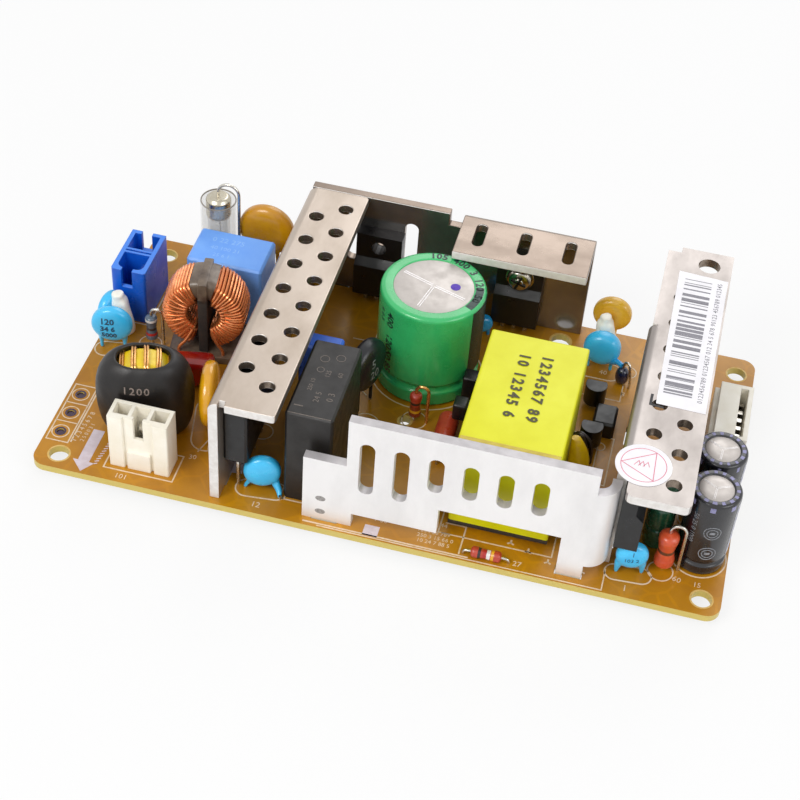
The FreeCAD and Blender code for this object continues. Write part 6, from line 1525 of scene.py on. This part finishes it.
def dressFuse(plan):
    spot = centreOf("fuse_sleeve")
    bottom, top = plan["rise"], plan["rise"] + plan["length"]
    caps = []
    cap, capLength = plan["cap"], plan["capLength"]
    for start, end, inward, shoulder, crown in ((bottom, bottom + capLength, 0.5, 0.5, 0.15),
                                                (top - capLength, top, 0.15, 0.8, 0.7)):
        profile = [(0, start), (cap - inward, start), (cap, start + 0.5), (cap, end - shoulder),
                   (cap - crown, end), (0, end)]
        caps.append(shifted(latheShape(roundedProfile(profile, 0.3), 40), spot.x, spot.y))
    makePiece("fuse_end_caps", caps, "fuseCapMetal", replaces=("fuse_caps",))
    glass, inside = plan["glass"], plan["glass"] - 0.6
    start, end = bottom + capLength, top - capLength
    tube = [(inside, start), (glass, start), (glass, end), (inside, end), (inside, start)]
    makePiece("fuse_glass_tube", [shifted(latheShape(tube, 48), spot.x, spot.y)], "fuseGlass",
              replaces=("fuse_glass",))
    high, radius = boxOf("fuse_sleeve")[1], plan["sleeve"]
    wall = [(radius, 0.0), (radius, high.z - 0.15), (radius - 0.12, high.z),
            (radius - 0.28, high.z - 0.1), (radius - 0.3, 0.0), (radius, 0.0)]
    circle = circlePath(spot.x, spot.y, radius - 0.17, 64)
    rim = wireShape([(x, y, high.z - 0.17) for x, y in circle], 0.16, 8, True)
    makePiece("fuse_clear_sleeve", [(shifted(latheShape(wall, 64), spot.x, spot.y), 0), (rim, 1)],
              ["clearSleeve", "sleeveRim"], replaces=("fuse_sleeve",))
    strand = wireShape([(0, 0, bottom + 4.5), (0.3, 0.2, (bottom + top) / 2), (0, 0, top - 4.5)], 0.1, 8)
    makePiece("fuse_strand", [shifted(strand, spot.x, spot.y)], "tinnedWire", slot="fuse_caps")


bodyPlans = {
    "banded_resistor": {"axis": "z", "body": "greyBody", "bands": [("bandRed", 0.3), ("bandBlack", 0.5),
                                                                   ("bandWhite", 0.86)]},
    "loop_resistor": {"axis": "z", "body": "resistorRed", "lower": "resistorDark",
                      "bands": [("bandYellow", 0.3), ("bandBlack", 0.62)]},
    "orange_resistor": {"axis": "z", "body": "orangeCoat", "bands": [("bandBrown", 0.5)]},
    "power_resistor": {"axis": "y", "body": "resistorRed", "bands": [], "swell": 0.0},
    "lying_resistor": {"axis": "x", "body": "resistorRed",
                       "bands": [("bandBlack", 0.3), ("bandRed", 0.46), ("bandWhite", 0.58),
                                 ("bandYellow", 0.7)]},
    "axial_diode": {"axis": "z", "body": "diodeBody", "bands": [], "ball": 2.4},
}


bandHalf = 0.052  # half the width of a band, as a share of the body's length


def bodyRadius(share, radius, swell):
    end = min(share, 1 - share) * 9
    cap = math.sqrt(max(1 - (1 - min(end, 1)) ** 2, 0))
    waist = 1 - swell * (1 - min(abs(share - 0.5) / 0.26, 1)) ** 0.6
    return radius * cap * waist


def dressBodies(plans):
    for node, plan in plans.items():
        low, high = boxOf(node)
        centre, size = (low + high) / 2, high - low
        axis = "xyz".index(plan["axis"])
        length = size[axis]
        radius = min(size[(axis + 1) % 3], size[(axis + 2) % 3]) / 2
        swell, steps = plan.get("swell", 0.2), 44
        profile = []
        for step in range(steps + 1):
            reach = bodyRadius(step / steps, radius, swell)
            if "ball" in plan:
                reach = radius * (1 - abs(2 * step / steps - 1) ** plan["ball"]) ** 0.5
            profile.append((reach, length * (step / steps - 0.5)))
        profile[0], profile[-1] = (0, -length / 2), (0, length / 2)
        points, faces = latheShape(profile, 32)
        materials = [plan["body"]] + [name for name, share in plan["bands"]]
        finishes = []
        if plan.get("lower"):
            materials.append(plan["lower"])
        for face in faces:
            z = sum(points[corner][2] for corner in face) / len(face) / length + 0.5
            finish = len(materials) - 1 if plan.get("lower") and z < 0.5 else 0
            for number, (name, share) in enumerate(plan["bands"], start=1):
                if abs(z - share) < bandHalf:
                    finish = number
            finishes.append(finish)
        turn = {"x": Matrix.Rotation(math.radians(90), 4, "Y"),
                "y": Matrix.Rotation(math.radians(-90), 4, "X"), "z": Matrix.Identity(4)}[plan["axis"]]
        matrix = Matrix.Translation(centre) @ turn
        points = [matrix @ Vector(point) for point in points]
        shapes = [((points, [face for face, f in zip(faces, finishes) if f == finish]), finish)
                  for finish in sorted(set(finishes))]
        piece = makePiece(node + "_body", shapes, materials, replaces=(node,), smooth=60)
        work = bmesh.new()
        work.from_mesh(piece.data)
        bmesh.ops.delete(work, geom=[v for v in work.verts if not v.link_faces], context="VERTS")
        bmesh.ops.remove_doubles(work, verts=work.verts, dist=0.001 * mm)
        work.to_mesh(piece.data)
        work.free()
        shadeSmooth(piece.data, 60)


leadPlan = {
    "radius": 0.35, "flat": (0.9, 0.6),
    "arches": [(11.6, 40.6, 8.0, 8.7, 2.6, 0), (71.6, 34.6, 8.0, 8.7, 2.6, 1),
               (127.6, 9.8, 10.1, 10.8, 3.0, 0), (17.9, 68.0, 21.6, 22.65, 4.7, 0)],
    "stubs": [(11.6, 40.6, 1.4), (71.6, 34.6, 1.4), (127.6, 9.8, 0.9), (17.9, 68.0, 2.6)],
    "rows": [(54.4, 69.4, 2.8, 3, 2.54, False), (86.0, 69.4, 2.8, 3, 2.54, False),
             (119.7, 10.2, 8.5, 2, 2.54, True), (42.0, 14.4, 8.4, 4, 5.08, True)],
}


def dressLeads(plan):
    radius, (width, depth) = plan["radius"], plan["flat"]
    shapes = []
    for x, y, start, top, reach, finish in plan["arches"]:
        half = reach / 2
        path = [(x, y, start), (x, y, (start + top) / 2)]
        path += [(x + half - half * math.cos(math.pi * step / 14), y,
                  top + half * math.sin(math.pi * step / 14)) for step in range(15)]
        path += [(x + reach, y, top * 0.6), (x + reach, y, 0)]
        shapes.append((wireShape(path, radius, 14), finish))
    for x, y, height in plan["stubs"]:
        shapes.append((wireShape([(x, y, 0), (x, y, height)], radius, 14), 0))
    for x, y, height, count, pitch, turned in plan["rows"]:
        for index in range(count):
            offset = pitch * (index - (count - 1) / 2)
            cx, cy = (x, y + offset) if turned else (x + offset, y)
            sx, sy = (depth / 2, width / 2) if turned else (width / 2, depth / 2)
            shapes.append((boxShape((cx - sx, cy - sy, 0), (cx + sx, cy + sy, height), 0.1, 2), 0))
    makePiece("bent_leads", shapes, ["tinnedWire", "chokeWire"], replaces=("component_leads",))


transistorPlan = {"places": [(108.3, 38.2), (107.2, 50.6)], "radius": 2.3, "height": 4.6, "rise": 1.5}


def dressTransistors(plan):
    radius, rise, high = plan["radius"], plan["rise"], plan["rise"] + plan["height"]
    outline = [(x, y) for x, y in circlePath(0, 0, radius, 48) if y <= radius / 2]
    outline = sorted(outline, key=lambda point: math.atan2(point[1] - 0.4, point[0]))
    shapes = []
    for x, y in plan["places"]:
        shapes.append((shifted(plateShape(outline, rise, high), x, y), 0))
        for index in (-1, 0, 1):
            middle = x + radius / 2 * index
            leg = boxShape((middle - 0.23, y - 0.23, 0), (middle + 0.23, y + 0.23, rise + 0.1), 0.05, 1)
            shapes.append((leg, 1))
    makePiece("transistor_cases", shapes, ["blackPackage", "tinnedWire"],
              replaces=("small_transistors",))


def dressSmallParts():
    dressLeads(leadPlan)
    dressTransistors(transistorPlan)
    dress("connector_pins", "tinnedWire")
    dressGreenChoke()
    dressThinParts(thinPlan)


def dressGreenChoke():
    low, high = boxOf("green_choke")
    centre, radius = (low + high) / 2, (high.x - low.x) / 2
    profile = roundedProfile([(0, 0.2), (radius - 0.6, 0.2), (radius, 0.9), (radius, 5.4),
                              (radius - 0.25, 5.8), (radius, 6.3), (radius, 11.2), (radius - 0.25, 11.6),
                              (radius, 12.1), (radius, high.z - 0.9), (radius - 0.6, high.z),
                              (0, high.z)], 0.35)
    makePiece("green_choke_body", [shifted(latheShape(profile, 40), centre.x, centre.y)],
              "greenChoke", replaces=("green_choke",))


thinPlan = {
    "tall": ([(121.8, 11.4, 0), (122.0, 11.2, 7.0), (121.7, 11.6, 15.0), (121.8, 12.0, 22.0)],
             [(119.7, 21.5, 0), (119.8, 21.4, 8), (119.9, 21.2, 15)]),
    "pressed": (60.2, 1.05, 0.7, 2.185, 2.21), "pressedRows": (6.1, 2.4),
    "diodeBend": [(0, 0, -0.1), (0.2, 0.2, 1.2), (1.2, -0.6, 1.4)], "diodeEnd": (1.9, -1.2, 2.0),
    "link": [(109.0, 61.2, 3.6), (110.2, 60.4, 4.6), (111.6, 59.2, 4.8)],
    "linkWidths": [0.75] * 6 + [0.6] * 7, "lead": 0.3, "diodeLead": 0.28,
}


def dressThinParts(plan):
    tall = [wireShape(smoothPath(path, 5), plan["lead"], 10) for path in plan["tall"]]
    makePiece("tall_leads", tall, "tinnedWire", slot="component_leads")
    x, long, short, back, face = plan["pressed"]
    marks = []
    for z in plan["pressedRows"]:  # two pressed marks low on the front plate
        outline = [(x + long * math.cos(math.radians(angle)), z + short * math.sin(math.radians(angle)))
                   for angle in range(0, 360, 18)]
        marks.append(plateShape(outline, back, face, "y"))
    makePiece("pressed_marks", marks, "pressedMark", slot="front_heatsink")
    ends = []
    for node, axis in (("power_resistor", "y"), ("lying_resistor", "x")):
        low, high = boxOf(node)
        centre, way = (low + high) / 2, Vector((axis == "x", axis == "y", 0))
        half = way.dot(high - low) / 2
        for end in (-1, 1):
            out = centre + way * end * (half + 1.0)
            path = smoothPath([centre + way * end * (half - 0.2), out + Vector((0, 0, -0.1)),
                               out + way * end * 0.35 + Vector((0, 0, -0.6)),
                               Vector((out.x + way.x * end * 0.4, out.y + way.y * end * 0.4, 0))], 5)
            ends.append(wireShape(path, plan["lead"], 10))
    makePiece("resistor_ends", ends, "tinnedWire", slot="component_leads")
    low, high = boxOf("axial_diode")
    centre = (low + high) / 2
    x, y, z = plan["diodeEnd"]
    bend = [(x, y, high.z + z) for x, y, z in plan["diodeBend"]] + [(x, y, z), (x, y, 0)]
    lead = smoothPath([(centre.x + x, centre.y + y, z) for x, y, z in bend], 6)
    makePiece("diode_lead", [wireShape(lead, plan["diodeLead"], 10)], "tinnedWire",
              slot="component_leads")
    link = wireShape(smoothPath(plan["link"], 6), plan["linkWidths"], 14)
    makePiece("coated_link", [link], "blueDipDeep", slot="disc_capacitor_rear")


sealantPlan = {"beads": ((3.8, 42.2, 2.9, 11.0), (106.2, 66.9, 2.75, 11.4)), "taper": 0.38, "crown": 0.72,
               "lean": 0.35}


def dressSealant(plan):
    shapes = []
    for x, y, radius, height in plan["beads"]:
        rings = []
        for step in range(12):
            share = step / 11
            size = radius * (1 - plan["taper"] * share) * (1 if share < 0.9 else plan["crown"])
            lean = plan["lean"] * math.sin(share * 4)
            ring = []
            for turn in range(28):
                angle = 2 * math.pi * turn / 28
                waveX = 1 + 0.12 * math.sin(3 * angle + share * 5)
                waveY = 1 + 0.1 * math.sin(2 * angle - share * 7)
                ring.append((x + lean + size * math.cos(angle) * waveX,
                             y + 0.2 * share + size * math.sin(angle) * waveY,
                             0.02 + (height - 0.3) * share))
            rings.append(ring)
        shapes.append(loftShape(rings))
    piece = makePiece("sealant_lumps", shapes, "sealant", replaces=("sealant_beads",), smooth=80)
    meltPiece(piece, 0.22, 10, 0.7)


# Stage, lights and camera.

cameraPlan = {"at": (115.1, -214.9, 253.9), "turn": 10.63, "height": 44.44, "roll": 4.74, "lens": 76.8}
lightPlan = {
    "key": {"at": (-0.42, -0.62, 0.72), "size": 0.55, "power": 5.2, "colour": (1.0, 0.985, 0.96)},
    "fill": {"at": (0.7, -0.35, 0.5), "size": 0.6, "power": 2.6, "colour": (0.97, 0.985, 1.0)},
    "rim": {"at": (0.1, 0.75, 0.6), "size": 0.6, "power": 1.8, "colour": (1.0, 1.0, 1.0)},
}


def makeCamera(plan):
    turn, height, roll = (math.radians(plan[key]) for key in ("turn", "height", "roll"))
    back = Vector((math.sin(turn) * math.cos(height), -math.cos(turn) * math.cos(height),
                   math.sin(height)))
    right = Vector((math.cos(turn), math.sin(turn), 0))
    up = back.cross(right)
    tiltedRight = right * math.cos(roll) + up * math.sin(roll)
    tiltedUp = up * math.cos(roll) - right * math.sin(roll)
    data = bpy.data.cameras.new("photoCamera")
    data.lens, data.sensor_width, data.sensor_fit = plan["lens"], 36, "HORIZONTAL"
    data.clip_start, data.clip_end = 0.01, 20
    camera = addObject("photoCamera", data)
    matrix = Matrix((tiltedRight, tiltedUp, back)).transposed().to_4x4()
    matrix.translation = place(*plan["at"])
    camera.matrix_world = matrix
    bpy.context.scene.camera = camera


def makeLights(plans):
    for name, plan in plans.items():
        data = bpy.data.lights.new(name, "AREA")
        data.shape, data.size = "DISK", plan["size"]
        data.energy, data.color = plan["power"], plan["colour"]
        lamp = addObject(name, data)
        lamp.location = plan["at"]
        lamp.rotation_euler = (Vector(plan["at"]) * -1).to_track_quat("-Z", "Y").to_euler()


# Camera, mirror and glass rays all meet the same white surround.
def seenDirectly(tree):
    light = addNode(tree, "LightPath").outputs
    total = light["Is Camera Ray"]
    for name in ("Is Glossy Ray", "Is Transmission Ray"):
        total = calculate(tree, "MAXIMUM", total, light[name])
    return total


stagePlan = {"surround": (0.98, 0.99, 1.0, 1), "surroundPower": 0.5, "floor": (0.86, 0.86, 0.86, 1),
             "floorRough": 0.7, "floorGlow": 0.8, "floorHalf": 4.0, "floorGap": 0.0001}


def makeStage(plan):
    world = bpy.data.worlds.new("studio")
    world.use_nodes = True
    tree = world.node_tree
    tree.nodes.clear()
    soft = addNode(tree, "Background", {"Color": plan["surround"], "Strength": plan["surroundPower"]})
    white = addNode(tree, "Background", {"Color": (1, 1, 1, 1), "Strength": 1.0})
    mix = addNode(tree, "MixShader", {0: seenDirectly(tree), 1: soft.outputs["Background"],
                                      2: white.outputs["Background"]})
    addNode(tree, "OutputWorld", {"Surface": mix.outputs["Shader"]})
    bpy.context.scene.world = world

    material = bpy.data.materials.new("paleFloor")
    material.use_nodes = True
    tree = material.node_tree
    shader = tree.nodes["Principled BSDF"]
    shader.inputs["Base Color"].default_value = plan["floor"]
    shader.inputs["Roughness"].default_value = plan["floorRough"]
    glow = addNode(tree, "Emission", {"Color": (1, 1, 1, 1), "Strength": 1.0})
    share = calculate(tree, "MULTIPLY", seenDirectly(tree), plan["floorGlow"])
    mix = addNode(tree, "MixShader", {0: share, 1: shader.outputs["BSDF"], 2: glow.outputs["Emission"]})
    feed(tree, tree.nodes["Material Output"].inputs["Surface"], mix.outputs["Shader"])
    mesh = bpy.data.meshes.new("floor")
    half, level = plan["floorHalf"], cadBox[0][2] - plan["floorGap"]
    corners = [(-half, -half), (half, -half), (half, half), (-half, half)]
    mesh.from_pydata([(x, y, level) for x, y in corners], [], [(0, 1, 2, 3)])
    mesh.materials.append(material)
    addObject("floor", mesh)
    bpy.context.scene.view_settings.view_transform = "Standard"


print("stage: camera and lights")
makeCamera(cameraPlan)
makeLights(lightPlan)
makeStage(stagePlan)
print("stage: board")
dressBoard(boardPlan)
dressSolder(solderPlan)
print("stage: heatsinks")
dressHeatsinks(labelPlan)
dressDevices()
print("stage: connectors and boxes")
for node, finish in (("inlet_housing", "whiteNylon"), ("output_housing", "whiteNylon"),
                     ("blue_header_housing", "blueMoulding")):
    dress(node, finish)
dressBoxes(boxPlan)
dressTransformer(transformerPlan)
print("stage: wound parts")
dressFilter(filterPlan)
dressChoke(chokePlan)
print("stage: capacitors and discs")
dressBulk(bulkPlan)
for name in ("front", "rear"):
    dressOutput(name, outputPlan)
for node, plan in dippedPlans.items():
    makeDipped(node, plan)
print("stage: fuse, resistors and small parts")
dressFuse(fusePlan)
dressBodies(bodyPlans)
dressSmallParts()
dressSealant(sealantPlan)
for node in sorted(cadNodes):
    if not cadNodes[node].hide_render:
        shadeSmooth(cadNodes[node].data, 30)
